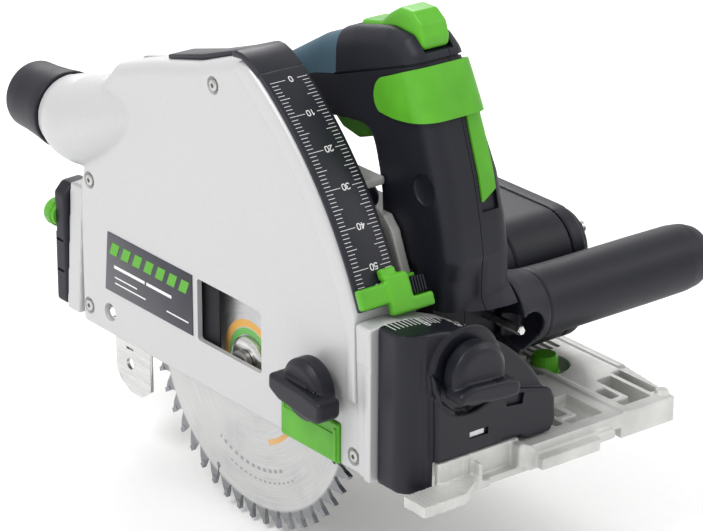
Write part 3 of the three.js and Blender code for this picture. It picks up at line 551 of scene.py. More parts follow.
navy = plastic("navy plastic", "#13141f")
navy_fine = plastic("navy plastic, fine grain", "#12131d", grain=0.25, depth=0.2, rough=0.4)
green = plastic("green plastic", "#55a524", grain=0.3, depth=0.15, rough=0.36, light=1.25)
silver_paint = silver("silver paint")
cast_metal = cast("cast aluminium")
cast_dull = cast("cast aluminium, dull", "#a9a9a5", 0.5)
band_paint = plastic("scale black", "#1b1c25", grain=0.22, depth=0.12, rough=0.4, light=1.3)
blade_plate = blade_paint()
carbide = steel("carbide", "#8f9196", 0.26, "y")
dark_steel = steel("dark steel", "#8d8d8c", 0.3)
bright = steel("bright steel", "#d3d3d1", 0.18, "y")
bright_x = steel("bright steel, turned", "#cfcfcd", 0.2, "y")
zinc = steel("zinc screw", "#c0c0bd", 0.28, "z")
copper = steel("copper", "#b5653a", 0.3, "x")
carbon = plastic("carbon", "#3a3a3c", grain=0.5, depth=0.4, rough=0.5)
board = plastic("circuit board", "#2f6b45", grain=0.6, depth=0.2, rough=0.4)
teal = grip_paint()
label_film = label_paint()
# painted shade: a black used only for the dark sheet and plug inside the guard
shade_black = plastic("shade black", "#131318", grain=0.4, depth=0.2, rough=0.6)
white_ink = ink("white ink", "#e9e9e9")
green_ink = ink("green ink", "#58a826")


# ------------------------------------------------------------------ outline helpers

def soften_outline(points, rounds=2, part=0.22):
    """Cuts each corner of a closed outline, so it becomes a curve."""
    for _ in range(rounds):
        out = []
        for (a0, b0), (a1, b1) in zip(points, points[1:] + points[:1]):
            out.append((a0 + (a1 - a0) * part, b0 + (b1 - b0) * part))
            out.append((a1 - (a1 - a0) * part, b1 - (b1 - b0) * part))
        points = out
    return points


def swell(obj, amount):
    """Moves points along their normals; amount takes datum millimetres."""
    moves = []
    for v in obj.data.vertices:
        x, y, z = v.co.x * 1000 + ORIGIN_X, v.co.y * 1000, v.co.z * 1000
        moves.append(v.co + v.normal * amount(x, y, z) / 1000)
    for v, place in zip(obj.data.vertices, moves):
        v.co = place
    return obj


def step(value, edge, soft):
    part = min(1.0, max(0.0, (value - edge) / soft + 0.5))
    return part * part * (3 - 2 * part)


# ------------------------------------------------------------------ guard cover

WINDOW = (-21.7, 27.9, 24.0, 54.7)
NOZZLE = (10.0, 100.8)
SCREWS = {1: (116, 76.4), 2: (119, 10.6), 3: (13, 152.5), 4: (-89.4, 8.7)}
KNOB = (-68.5, 36.5)


def guard_cover():
    edge = [(128, -15), (128, 66), (126.5, 75), (116, 110), (108, 127), (95, 140), (62, 150.5), (29.6, 158.5),
            (-3, 170.4), (-10, 172.4)]
    front = arc(BAND_C, BAND_R - 2.5, 122.4, 158, 28)
    outline = edge + front + [(-112, 60), (-112, -15)]
    shell = prism(outline, "x", 0, 36, bevel=6.5, steps=5, sharp=55)
    inside = [(125.2, -20), (125.2, 66), (123.6, 75), (113.4, 109), (105.6, 125), (93.6, 137.6), (61.4, 147.8),
              (28.8, 157.2), (-3, 167.4)]
    inside += arc(BAND_C, BAND_R - 5, 124, 156, 20) + [(-91.9, 58), (-91.9, -20)]
    cut(shell, prism(inside, "x", 2.6, 60, bevel=4.5, steps=3, sharp=55))
    cut(shell, slab(17.6, 60, -150, 150, -40, 200), slab(-20, 60, -150, -94.7, -40, 200),
        slab(-20, 60, -150, 150, -40, 1.5))
    rim = [(-6, 166), (-9, 171.2)] + arc(BAND_C, BAND_R - 2.6, 122.8, 158, 24)
    rim += [(-112, 60), (-112, 36), (-88, 36)] + arc(BAND_C, BAND_R - 14.5, 161, 124, 20)
    raised = prism(rim, "x", -4, 4, bevel=3.2, steps=4, sharp=50)
    cut(raised, slab(-20, 60, -150, -94.7, -40, 200))
    ball = []
    for i in range(23):
        y = 103.0 + 44.0 * i / 22
        ball.append((y, 21.8 * math.sqrt(max(0.02, 1 - ((y - 130) / 28) ** 2))))
    port = lathe("y", NOZZLE, ball, 56)
    collar = lathe("y", NOZZLE, [(144, 18.4), (147, 18.4), (147.1, 17.6)], 56)
    neck = []
    for i in range(10):
        t = i / 9
        x, y, z, r = 10 + 3.5 * t, 126 - 42 * t, 101.5 + 17 * t, 21.4 - 7.4 * t * t
        turns = [math.pi * (j + 0.5) / 15 for j in range(15)]
        rings = [(y - r * math.cos(a), r * math.sin(a)) for a in turns]
        neck.append(lathe("y", (x, z), rings, 40))
    bosses = [rod("x", place, 4.2, 1, 6 if place[1] > 150 else 17.6) for place in SCREWS.values()]
    cover = mould(join(shell, raised, port, collar, *neck, *bosses), 0.85, 5)
    window = prism(rounded(*WINDOW, 1.6), "x", -10, 4.5)
    opening = prism(rounded(-80.5, -37.5, -8, 21.5, 1.2), "x", -10, 4)
    tools = [window, opening, rod("y", NOZZLE, 15.2, 131, 160, 48), slab(3, 17, 96, 133, 90, 112),
             slab(17.6, 60, 100, 127.6, 40, 140), rod("x", KNOB, 3.4, -8, 10),
             rod("x", RAISED_BLADE, BLADE_CLEARANCE_R, 8.0, 13.4, 120)]
    for place in SCREWS.values():
        tools.append(lathe("x", place, [(-9, 4.4), (0.6, 4.3), (1.7, 3.4)], 32))
        tools.append(rod("x", place, 1.6, 1, 30, 20))
    tools.append(lathe("x", (101, 13), [(-6, 4.9), (0.5, 4.6), (1.0, 4.2), (6, 4.2)], 32))
    cut_fast(cover, *tools)
    finish_piece(cover, "cover shell", "guard", SILVER, silver_paint, ["guard_cover"])
    # painted shade: a dark sheet behind the window and a dark plug behind the hole at (101, 13) stand for the shade
    # inside the guard
    plug = lathe("x", (101, 13), [(6.5, 5.6), (8, 5.6)], 28)
    shade_sheet = slab(4.2, 5.4, 16.5, 34, 16, 62, 0.4, 2)
    finish_piece(join(plug, shade_sheet), "shade sheet and plug", "guard", NAVY, shade_black)


def cover_screws():
    for i, place in SCREWS.items():
        head = lathe("x", place, [(-0.4, 1.5), (-0.35, 2.2), (-0.1, 2.7), (0.4, 2.9), (1.2, 2.9), (1.3, 1.4),
                                  ((6 if place[1] > 150 else 17.6) - 1.2, 1.3)], 28)
        cut(head, lathe("x", place, [(-2, 1.25), (0.7, 1.2), (1.0, 0.2)], 6))
        finish_piece(head, f"cover screw {i}", "guard", BRIGHT, zinc, [f"cover_screw_{i}"], 30)


def label():
    outline = [(104, 24.6), (101, 55), (31.5, 55), (31.5, 24.6)]
    plate = prism(outline, "x", -0.45, 0.2, bevel=0.25, steps=2)
    finish_piece(plate, "label plate", "guard", SCALE, label_film, ["rating_label"])

    def place(u, v, level):
        return (-0.45 - level, 101 - u, v)
    bars = [[(3.0 + 9.5 * i, 44.2), (9.0 + 9.5 * i, 50.6)] for i in range(7)]
    bar_marks = []
    for (u0, v0), (u1, v1) in bars:
        bar_marks.append(prism([(101 - u0 + 1.5, v0), (101 - u1 + 1.5, v0), (101 - u1 - 1.5, v1),
                                (101 - u0 - 1.5, v1)], "x", -0.58, -0.4))
    finish_piece(join(*bar_marks), "label bars", "guard", GREEN, green_ink)
    rows = [([(6, 38.5), (30, 38.5)], 1.6), ([(33, 38.5), (52, 38.5)], 1.6), ([(6, 33.2), (24, 33.2)], 0.7),
            ([(6, 30.2), (31, 30.2)], 0.7), ([(49, 30.2), (66, 30.2)], 0.7)]
    strokes = [mark_lines([line], width, place) for line, width in rows]
    finish_piece(join(*strokes), "label lines", "guard", SCALE, white_ink)


# ------------------------------------------------------------------ depth scale

def on_band(u, v, level):
    """u is x; v is degrees up from the front."""
    turn = math.radians(180 - v)
    r = BAND_R + level
    return (u, BAND_C[0] + r * math.cos(turn), BAND_C[1] + r * math.sin(turn))


def depth_angle(depth):
    return 53.6 - 0.523 * depth


def depth_band():
    band = prism(ring_part(BAND_R - 2.2, BAND_R, 22.4, 55.4, 60), "x", -3, 21, bevel=0.7, steps=3, sharp=50)
    corner = [(-26.2, 168.8), (-18.6, 173.3), (-13.6, 175.0), (-9, 175.2), (-6, 174.2), (-6, 171.6), (-13, 172.2),
              (-24.8, 166.6)]
    top = prism(corner, "x", -3, 21, bevel=0.6, steps=3, sharp=50)
    back = [(57, 151.8), (57, 154.0), (29.6, 161.4), (8, 168.8), (-6.4, 174.4), (-6.4, 171.4), (29.6, 158.9)]
    cap = prism(back, "x", 6.5, 21, bevel=0.6, steps=2, sharp=50)
    lip = prism(ring_part(BAND_R - 3.6, BAND_R - 2.0, 23, 53, 40), "x", 18, 22.4)
    body = join(band, top, cap, lip)
    finish_piece(body, "depth scale band", "guard", SCALE, band_paint, ["depth_scale_band"], 35)
    ticks = []
    for depth in range(0, 57):
        a = depth_angle(depth)
        reach = 5.2 if depth % 10 == 0 else 5.0 if depth % 5 == 0 else 3.2
        ticks.append([(19.2, a), (19.2 - reach, a)])
        ticks.append([(-0.6, a), (-0.6 + reach * (1.5 if depth % 10 == 0 else 1.0), a)])
    degree = 180 / math.pi / BAND_R
    marks = []
    for (u0, a), (u1, _) in ticks:
        marks.append(mark_lines([[(u0, 0), (u1, 0)]], 0.24, lambda u, v, level, a=a: on_band(u, a + v * degree, level)))
    for depth in (0, 10, 20, 30, 40, 50, 55):
        a = depth_angle(depth)
        lines = digit_lines(str(depth), 10.4, 0, 2.6, right=(-1, 0), up=(0, -1))
        marks.append(mark_lines(lines, 0.42, lambda u, v, level, a=a: on_band(u, a + v * degree, level)))
    finish_piece(join(*marks), "depth scale marks", "guard", SCALE, white_ink)


# ------------------------------------------------------------------ handle

def lean(x, y, z):
    """Above the waist the handle narrows and leans towards the guard."""
    part = max(0.0, (z - 122) / 68)
    return (HANDLE_X - 5 * part + (x - HANDLE_X) * (1 - 0.256 * part), y, z)


def cap_line(y):
    """Height of the parting line under the handle's head."""
    return 152 - 0.337 * y


HANDLE_OUT = [(-103, 50), (-103.6, 84), (-106.5, 94), (-104, 109), (-99, 129), (-91, 151.5), (-85, 170), (-80, 183),
              (-73, 189), (-60, 190), (-36, 184.5), (-12, 175), (26, 153), (60, 127), (82, 106), (94, 93), (94, 80.5),
              (-77.5, 80.5), (-77.5, 50)]
HANDLE_IN = [(-58, 100), (-57, 118), (-51, 139), (-44, 142.5), (-14, 138.5), (12, 128), (40, 112), (55, 98.5),
             (50, 93), (-30, 92), (-50, 94)]


def handle():
    outer = prism(HANDLE_OUT, "x", 40, 76, bevel=7.6, steps=4, sharp=55)
    hole = prism(soften_outline(HANDLE_IN, 2), "x", 30, 90)
    bend(outer, lean)
    cut(outer, hole)
    flare = lathe("x", (-92.5, 60), [(46, 12), (52, 17.5), (60, 20), (68, 21), (75.7, 21)], 56)
    cut(flare, slab(30, 90, -77.4, -20, 0, 140), slab(30, 90, -140, -40, 0, 49))
    web = prism([(-106, 66), (-106.5, 98), (-84, 98), (-77.6, 84), (-77.6, 66)], "x", 54, 75.7, bevel=6, steps=3)
    whole = mould(join(outer, flare, web), 0.95, 9)
    head = crisp(swell(clone(whole), lambda x, y, z: 0.8), "INTERSECT", prism(
        [(-26, cap_line(-26) + 0.5), (-120, cap_line(-120) + 0.5), (-120, 230), (-26, 230)], "x", 20, 100))
    yoke_region = soften_outline([(-55.4, 153.2), (-64, 152), (-74, 152.2), (-86, 154.2), (-106, 158), (-106, 186),
                                  (-80, 177), (-66, 170.8), (-55.4, 166.6)], 2, 0.3)
    yoke = crisp(swell(clone(whole), lambda x, y, z: 2.7), "INTERSECT", prism(yoke_region, "x", 20, 100))
    strip_region = [(60.6, 156), (60.6, 118), (68.8, 122.5), (69.2, 156)]
    strip = crisp(swell(clone(whole), lambda x, y, z: 0.9), "INTERSECT", prism(strip_region, "y", -130, -84))
    core = swell(clone(whole), lambda x, y, z: 1.2)
    lever = cut_fast(yoke, core)
    shallow = swell(clone(whole), lambda x, y, z: -1.6)
    lever_strip = cut_fast(strip, clone(shallow))
    slot = cut_fast(prism([(60.2, 158), (60.2, 113.4), (69.6, 113.4), (69.6, 158)], "y", -130, -84), shallow)
    groove_line = [(-24, cap_line(-24) - 0.7), (-120, cap_line(-120) - 0.7), (-120, cap_line(-120) + 0.3),
                   (-24, cap_line(-24) + 0.3)]
    groove = cut_fast(prism(groove_line, "x", 20, 100), swell(clone(whole), lambda x, y, z: -1.0))
    cut_fast(whole, groove, slot)
    crisp(whole, "UNION", head)
    finish_piece(join(lever, lever_strip), "blade change lever", "blade_change_lever", GREEN, green,
                 ["blade_change_lever"], 45)
    tools = [
        prism([(-42, 145), (-2, 144), (11.5, 138.5), (11.5, 149), (-2, 158), (-42, 164)], "x", 47, 65),
        slab(48.6, 65.6, -43, 2, 118, 157), slab(45.2, 60.8, -82, -33, 183, 204),
        slab(46, 70, 10, 54, 84.5, 89.5), rod("x", (30, 87), 6, 68.5, 90),
        slab(30, 90, -125, -94.4, 40, 70), rod("y", (HANDLE_X, 92), 9.4, 70, 120),
        lathe("x", (-87, 123.6), [(30, 7.4), (40.4, 7.2), (41.0, 6.6)], 40),
    ]
    cut_fast(whole, *tools)
    seat = [(-27, 205), (29, 175), (60, 150), (100, 120), (84, 100), (78.2, 100.5), (56.3, 121.5), (26.2, 143),
            (-10, 156.5), (-26, 160.5)]
    band = clone(whole)
    crisp(band, "INTERSECT", prism(seat, "x", 20, 100))
    cut_fast(whole, prism(seat, "x", 20, 100))
    swell(band, lambda x, y, z: -0.15)
    finish_piece(band, "rubber grip", "motor_unit", TEAL, teal, ["grip_band"], 50)
    left = clone(whole)
    cut_fast(left, slab(HANDLE_X - 0.15, 120, -200, 200, -50, 260))
    cut_fast(whole, slab(0, HANDLE_X + 0.15, -200, 200, -50, 260))
    finish_piece(left, "handle shell, left", "motor_unit", NAVY, navy, ["handle_left"], 50)
    finish_piece(whole, "handle shell, right", "motor_unit", NAVY, navy, ["handle_right"], 50)


def handle_parts():
    pad = prism([(-79, 183.4), (-79.4, 189), (-77, 195), (-71, 199.2), (-62, 199.2), (-55, 195), (-49, 189.8),
                 (-35, 187), (-35, 183.4)], "x", 45.7, 60.3, bevel=3.4, steps=5, sharp=50)
    round_pad = mould(pad, 0.6, 6)
    finish_piece(round_pad, "plunge release", "plunge_release", GREEN, green, ["plunge_release"], 50)
    finger = prism([(-39, 146), (-39.4, 138), (-36, 131), (-27.5, 128), (-16, 130), (-8, 136), (-5, 146)], "x",
                   49.6, 64.4, bevel=3.0, steps=4, sharp=50)
    finish_piece(mould(finger, 0.6, 4), "trigger", "trigger", GREEN, green, ["trigger"], 50)
    ring = lathe("x", (30, 87), [(69.3, 5.6), (74, 5.6), (76.2, 5.2), (77, 4.2)], 40)
    for i in range(10):
        a = 2 * math.pi * i / 10
        cut(ring, rod("x", (30 + 6 * math.cos(a), 87 + 6 * math.sin(a)), 0.55, 71, 80, 8))
    finish_piece(ring, "speed dial", "speed_dial", GREEN, green, ["speed_dial"], 35)


def front_handle():
    bar = lathe("x", (-94, 58), [(76.3, 20.8), (80, 20.2), (85, 18.6), (91, 17.2), (98, 16.6), (110, 16.3), (128, 16.2),
                                 (160, 16.2), (184, 16.0), (191, 15.2), (196, 13.2), (199.2, 10.0), (200.4, 5.6)], 72)
    cut(bar, slab(60, 230, -77.2, -60, 0, 120))
    hollow = lathe("y", (0, 0), [(-130, 9.8), (-106, 9.2), (-98, 7)], 40)
    bend(hollow, lambda x, y, z: (81 + x, y, 54.8 + z * 0.95))
    cut(bar, hollow)
    bar = mould(bar, 0.8, 4)
    swell(bar, lambda x, y, z: -0.6 * step(0.5, abs(x - 95), 0.5))
    finish_piece(bar, "front handle", "motor_unit", NAVY, navy, ["front_handle"], 50)


# ------------------------------------------------------------------ front bracket and knobs

BRACKET_C = (6.0, -6.0)
BRACKET_R = 82.5
FRONT_SCREW = (32.0, 56.0)
REAR_SCREW = (46.0, 40.0)


def front_bracket():
    top = arc(BRACKET_C, BRACKET_R, 94, 32, 28)[::-1]
    outline = [(0, 2), (15.5, 2), (15.5, 15.5), (61, 15.5), (65, 12.4), (80, 12.4), (83, 16), (82, 30),
               (77.5, 35)] + top
    block = prism(outline, "y", -126, -105.4, bevel=1.4, steps=3, sharp=35)
    # The outer corner is rounded off towards the guard's face
    cut(block, prism([(-5, -106)] + arc((10, -115.5), 10, 180, 270, 10) + [(10, -140), (-5, -140)], "z", -5, 90))
    panel = prism([(14.5, 15.6), (14, 44), (11.8, 58.5), (16, 54), (17.5, 44), (26, 36.5), (36, 35), (46, 38.5),
                   (52, 41), (80, 33.5), (82, 29), (82.6, 18), (80, 13), (66, 13), (62, 15.6)],
                  "y", -128.9, -125, bevel=1.0, steps=3, sharp=25)
    foot = slab(28, 62, -125.5, -106.4, 12.4, 17)
    collar = lathe("y", FRONT_SCREW, [(-127.2, 17.6), (-126.6, 19.2), (-125, 19.6)], 56)
    bracket = mould(join(block, panel, foot, collar), 0.6, 2)
    tools = [rod("y", FRONT_SCREW, 5, -140, -100, 28), slab(33, 43.6, -140, -127.6, 22.2, 25.6),
             prism([(52, 38.8), (64, 36.2), (63, 31), (54, 32)], "y", -140, -127.2)]
    cut_fast(bracket, *tools)
    swell(bracket, lambda x, y, z: -0.5 * step(0.5, abs(math.hypot(x - 32, z - 56) - 20.6), 0.5) * step(-y, 126.4, 0.4))
    finish_piece(bracket, "front bevel bracket", "base", NAVY, navy_fine, ["front_bevel_bracket"], 45)
    insert = slab(33.2, 42, -127.75, -127.4, 22.5, 25.3, bevel=0.12, steps=2)
    finish_piece(insert, "bracket insert", "base", SILVER, white_ink)

    def over_arc(u, v, level):
        turn = math.radians(u)
        r = BRACKET_R + level
        return (BRACKET_C[0] + r * math.cos(turn), v, BRACKET_C[1] + r * math.sin(turn))

    marks = []
    mm = 180 / math.pi / BRACKET_R
    for i in range(12):
        a = 91.5 - i * 1.55
        long = 7.5 if i in (0, 5) else 6.4
        marks.append(mark_lines([[(0, -113.4), (0, -113.4 + long)]], 0.4,
                                lambda u, v, level, a=a: over_arc(a + u * mm, v, level)))
    for text, a in (("0", 80), ("15", 67), ("30", 54), ("45", 41)):
        lines = digit_lines(text, 0, -114.5, 3.0)
        marks.append(mark_lines(lines, 0.45, lambda u, v, level, a=a: over_arc(a - u * mm, v, level)))
        marks.append(mark_lines([[(0, -111.5), (0, -107)]], 0.4,
                                lambda u, v, level, a=a: over_arc(a + u * mm, v, level)))
    for i in range(10):
        a = 76 - i * 4
        marks.append(mark_lines([[(0, -110), (0, -107)]], 0.25,
                                lambda u, v, level, a=a: over_arc(a + u * mm, v, level)))
    finish_piece(join(*marks), "bevel scale marks", "base", SCALE, white_ink)


def front_segment():
    top = arc(BRACKET_C, 81.6, 97, 33, 28)[::-1]
    outline = [(-1.8, 2.2), (14, 2.2), (17.5, 15), (71, 15)] + top
    block = prism(outline, "y", -105.1, -95, bevel=1.0, steps=3, sharp=40)
    lip = slab(-3.6, -1.2, -105.0, -100.6, 2.2, 56, 0.5, 2)
    lip2 = slab(-3.6, -1.2, -105.0, -95.1, 56.5, 74.2, 0.5, 2)
    body = mould(join(block, lip, lip2), 0.7, 3)
    cut_fast(body, curved_slot(FRONT_SCREW, 5.2, -108, -92))
    finish_piece(body, "front tilt segment", "guard", SILVER, silver_paint, ["front_tilt_segment"], 45)


def curved_slot(screw, r, y0, y1):
    """The slot a clamp screw runs along as the guard tilts about its lower edge."""
    axis = (10.7, 2.0)
    reach = math.hypot(screw[0] - axis[0], screw[1] - axis[1])
    at = math.degrees(math.atan2(screw[1] - axis[1], screw[0] - axis[0]))
    low, high = at - 48.5, at + 2.5
    ends = []
    for a, turn in ((high, 0), (low, 180)):
        c = arc(axis, reach, a, a, 1)[0]
        ends.append(arc(c, r, a + turn, a + turn + 180, 8))
    outline = arc(axis, reach + r, low, high, 16) + ends[0] + arc(axis, reach - r, high, low, 16) + ends[1]
    return prism(outline, "y", y0, y1)


def wing_knob(axis, centre, base, out, angle, radius=14.5, wing=13.5, bar=(5.5, -3.5)):
    """A thick round clamp knob with a ribbed bar standing across its lower half."""
    a, b = centre
    disc = lathe(axis, centre, [(base, radius - 0.8), (base + out * 1.2, radius), (base + out * 7.4, radius),
                                (base + out * 9.6, radius - 2.4), (base + out * 9.9, radius - 4)], 72)
    c, s = math.cos(math.radians(angle)), math.sin(math.radians(angle))
    top, low = bar
    outline = [(-wing * 1.15, low), (-wing * 1.1, top - 2.5), (-wing * 0.6, top), (wing * 0.7, top),
               (wing * 1.3, top - 1.4), (wing * 1.4, top - 4), (wing * 1.36, low - 1.5), (wing * 0.5, low - 2)]
    turned = [(a + u * c - v * s, b + u * s + v * c) for u, v in outline]
    t0, t1 = sorted((base + out * 2.2, base + out * 14.5))
    bar = prism(turned, axis, t0, t1, bevel=1.8, steps=3, sharp=40)
    knob = mould(join(disc, bar), 0.55, 4)
    grooves = []
    for i in range(8):
        u = wing * (0.42 + 0.11 * i)
        x0, z0 = a + u * c - (low - 2.1) * s, b + u * s + (low - 2.1) * c
        g0, g1 = sorted((base + out * 9, base + out * 20))
        grooves.append(rod(axis, (x0, z0), 0.5, g0, g1, 8))
        x0, z0 = a + u * c - top * s, b + u * s + top * c
        grooves.append(rod(axis, (x0, z0), 0.5, g0, g1, 8))
    return cut_fast(knob, *grooves)


def knobs():
    front = wing_knob("y", FRONT_SCREW, -128.4, -1, -4, bar=(-2.5, -9.5))
    screw = lathe("y", FRONT_SCREW, [(-129, 3.6), (-95.4, 3.6), (-94.8, 3.0)], 24)
    finish_piece(join(front, screw), "front bevel knob", "front_bevel_knob", NAVY, navy_fine, ["front_bevel_knob"])
    rear = wing_knob("y", REAR_SCREW, 160, 1, 20, bar=(3, -6))
    screw = lathe("y", REAR_SCREW, [(127, 3.0), (127.6, 3.6), (161, 3.6)], 24)
    finish_piece(join(rear, screw), "rear bevel knob", "rear_bevel_knob", NAVY, navy_fine, ["rear_bevel_knob"])
    side = wing_knob("x", KNOB, -4.4, -1, 187, radius=14.5, wing=15, bar=(7.5, -2.5))
    spigot = rod("x", KNOB, 3, -5, 6, 20)
    finish_piece(join(side, spigot), "splinter guard knob", "splinter_guard_knob", NAVY, navy_fine,
                 ["splinter_guard_knob"])


def splinter_guard():
    plate = slab(-1.6, 2, -80, -38, 1.5, 21, bevel=0.8, steps=3)
    foot = slab(1.5, 8.6, -79, -39, 1.5, 8, bevel=0.5, steps=2)
    piece = mould(join(plate, foot), 0.5, 3)
    cut_fast(piece, slab(-3, -0.9, -76.5, -40.5, 15.2, 19.4, 0.4, 2), slab(-3, -1.15, -77.6, -76.9, 3, 18))
    ridge = slab(-2.3, -1.4, -79.2, -77.2, 2.6, 18.5, bevel=0.4, steps=2)
    finish_piece(join(piece, ridge), "splinter guard", "splinter_guard", GREEN, green, ["splinter_guard"])


# ------------------------------------------------------------------ depth stop

def depth_stop():
    bar = prism(ring_part(BAND_R + 0.6, BAND_R + 4.6, 22.6, 25.2, 6), "x", -4, 14, bevel=0.9, steps=3, sharp=40)
    body = prism(ring_part(BAND_R + 0.6, BAND_R + 5.8, 21, 26, 8), "x", 11, 22.6, bevel=1.2, steps=3, sharp=40)
    nose = prism(ring_part(BAND_R + 0.6, BAND_R + 4.6, 25.5, 26.9, 4), "x", 10, 18, bevel=0.8, steps=2, sharp=40)
    ear = prism(ring_part(194, BAND_R + 5.5, 21, 25.6, 6), "x", 21.4, 23)
    foot = prism(ring_part(194, BAND_R + 5.8, 21, 22.7, 6), "x", 21.8, 33.5, bevel=0.8, steps=2, sharp=40)
    back = prism(ring_part(194, 195.8, 21, 25.4, 6), "x", 21.8, 33.5)
    stop = mould(join(bar, body, nose, ear, foot, back), 0.55, 4)
    finish_piece(stop, "depth stop", "depth_stop", GREEN, green, ["depth_stop"])
    pad = prism(ring_part(197, BAND_R + 4.4, 22.9, 25, 5), "x", 23.4, 31.5, bevel=0.8, steps=3, sharp=40)
    ribs = [prism(ring_part(BAND_R + 3.8, BAND_R + 5.3, 23.0, 24.9, 4), "x", 24.0 + i * 1.5, 24.8 + i * 1.5, 0.2, 2)
            for i in range(5)]
    finish_piece(join(pad, *ribs), "depth stop button", "depth_stop_button", NAVY, navy_fine, ["depth_stop_button"])


# ------------------------------------------------------------------ rear and dust port

def nozzle():
    outer = [(133, 14.6), (147.4, 14.6), (147.5, 19.2), (149, 19.4), (156, 18.4), (168, 17.3), (176.5, 17.0),
             (178, 16.4)]
    tube = lathe("y", NOZZLE, outer, 64)
    bore = lathe("y", NOZZLE, [(120, 12.4), (150, 12.8), (177, 14.4), (178.6, 15.4)], 64)
    cut(tube, bore)
    round_edges(tube, 0.5, 2, 50)
    finish_piece(tube, "dust nozzle", "dust_nozzle", NAVY, navy, ["dust_nozzle"], 35)


def rear_parts():
    cover = prism([(0.5, 4), (16, 4), (16, 66.5), (5, 66), (0.5, 61)], "y", 139.3, 149, bevel=1.4, steps=3)
    lid = mould(cover, 0.7, 4)
    cut_fast(lid, slab(-2, 1.4, 141.5, 147, 36, 37.4), slab(-2, 1.4, 141.5, 147, 20, 21.4),
             lathe("y", (5, 48), [(147, 8.8), (152, 9.2)], 32))
    finish_piece(lid, "rear cover", "guard", NAVY, navy, ["rear_cover"])
    release = lathe("y", (5, 48), [(147.3, 6.0), (149.4, 6.2), (150, 7.0), (153.6, 7.1), (155.4, 6.4),
                                   (156.0, 4.8)], 40)
    flutes = []
    for i in range(10):
        a = 2 * math.pi * i / 10
        flutes.append(rod("y", (5 + 7.5 * math.cos(a), 48 + 7.5 * math.sin(a)), 0.8, 149.6, 160, 10))
    cut(release, *flutes)
    finish_piece(release, "undercut release", "undercut_release", GREEN, green, ["undercut_release"], 35)
    for node, paint, slot, body in (("rear_tilt_segment", silver_paint, SILVER, "guard"),
                                    ("rear_bevel_bracket", navy, NAVY, "base")):
        finish_piece(mould(copy_of(node), 0.8, 3), node.replace("_", " "), body, slot, paint, [node])


# ------------------------------------------------------------------ motor unit

HOUSING = (-76.5, 9.5, 18.0, 83.5, 20.0)
MOTOR = (-33.0, 49.0)


def housing_outline(inset, top=83.5):
    y0, y1, z0, _, r = HOUSING
    return rounded(y0 + inset, y1 - inset, z0 + inset, top - inset, r - inset, 14)


def motor_parts():
    shell = prism(housing_outline(0), "x", 76.4, 138, bevel=0.8, steps=2, sharp=60)
    cut(shell, prism(housing_outline(3), "x", 60, 150))
    body = mould(shell, 0.9, 3)
    shelves = [
        slab(27, 39.4, -61, -40, 118.5, 122.6, 0.8, 2), slab(27, 39.4, -64, -44, 100.4, 104, 0.8, 2),
        prism([(-66, 78), (-46, 78), (-46, 100.8), (-62, 100.8)], "x", 33, 39.4, bevel=0.8, steps=2),
    ]
    opening = prism([(-62.6, 82), (-52, 82), (-52, 97), (-60.4, 97)], "x", 30, 45)
    finish_piece(cut_fast(mould(join(*shelves), 0.6, 2), opening), "gear case ribs", "motor_unit", CAST, cast_metal)
    sleeve = lathe("x", (-52, 111.4), [(27, 5.2), (29, 6.4), (37, 6.4), (39, 5.2)], 40)
    finish_piece(sleeve, "stop sleeve", "motor_unit", NAVY, navy_fine)
    slots = []
    for i in range(6):
        x = 108 + i * 4.6
        slots.append(prism(rounded(x, x + 2.2, -30, 0, 1.0), "z", 74, 95))
        slots.append(slab(x, x + 2.2, 0, 20, 36, 60, 0))
    for i in range(4):
        slots.append(slab(86 + i * 5, 88.4 + i * 5, 0, 20, 40, 62))
    cut_fast(body, *slots)
    swell(body, lambda x, y, z: -0.7 * step(0.6, abs(x - 104), 0.5))
    finish_piece(body, "motor housing", "motor_unit", NAVY, navy, ["motor_housing"])
    cap = prism(housing_outline(0), "x", 138.3, 146, bevel=0.6, steps=2, sharp=60)
    dome = prism(housing_outline(2.6), "x", 143, 151.5, bevel=4.5, steps=5, sharp=60)
    end = join(cap, dome)
    end = mould(end, 0.9, 4)
    hollow = prism(housing_outline(3), "x", 130, 143)
    vents = [slab(145, 160, -62, -4, 30 + i * 6.4, 32.4 + i * 6.4, 0) for i in range(6)]
    core = rod("x", MOTOR, 13, 130, 156, 40)
    cut_fast(end, hollow)
    for vent in vents:
        cut(vent, clone(core))
    cut_fast(end, *vents)
    drop(core)
    boss = cut(rod("x", MOTOR, 12.5, 138.4, 144, 40), rod("x", MOTOR, 9.3, 130, 143, 40))
    finish_piece(join(end, boss), "motor end cap", "motor_unit", NAVY, navy, ["motor_end_cap"])
    for i, (y, z) in enumerate([(-66, 28), (-1, 28), (-66, 73), (-1, 73)]):
        head = lathe("x", (y, z), [(150.2, 3.0), (151.8, 3.0), (152.3, 2.2)], 24)
        cut(head, lathe("x", (y, z), [(151.2, 1.2), (154, 1.3)], 6))
        finish_piece(head, f"end cap screw {i + 1}", "motor_unit", BRIGHT, zinc)
    case = copy_of("gear_case")
    finish_piece(mould(case, 0.85, 3), "gear case", "motor_unit", CAST, cast_metal, ["gear_case"])
    finish_piece(mould(copy_of("bearing_shield"), 0.9, 2), "bearing shield", "motor_unit", CAST, cast_dull,
                 ["bearing_shield"])


# ------------------------------------------------------------------ blade and small steel

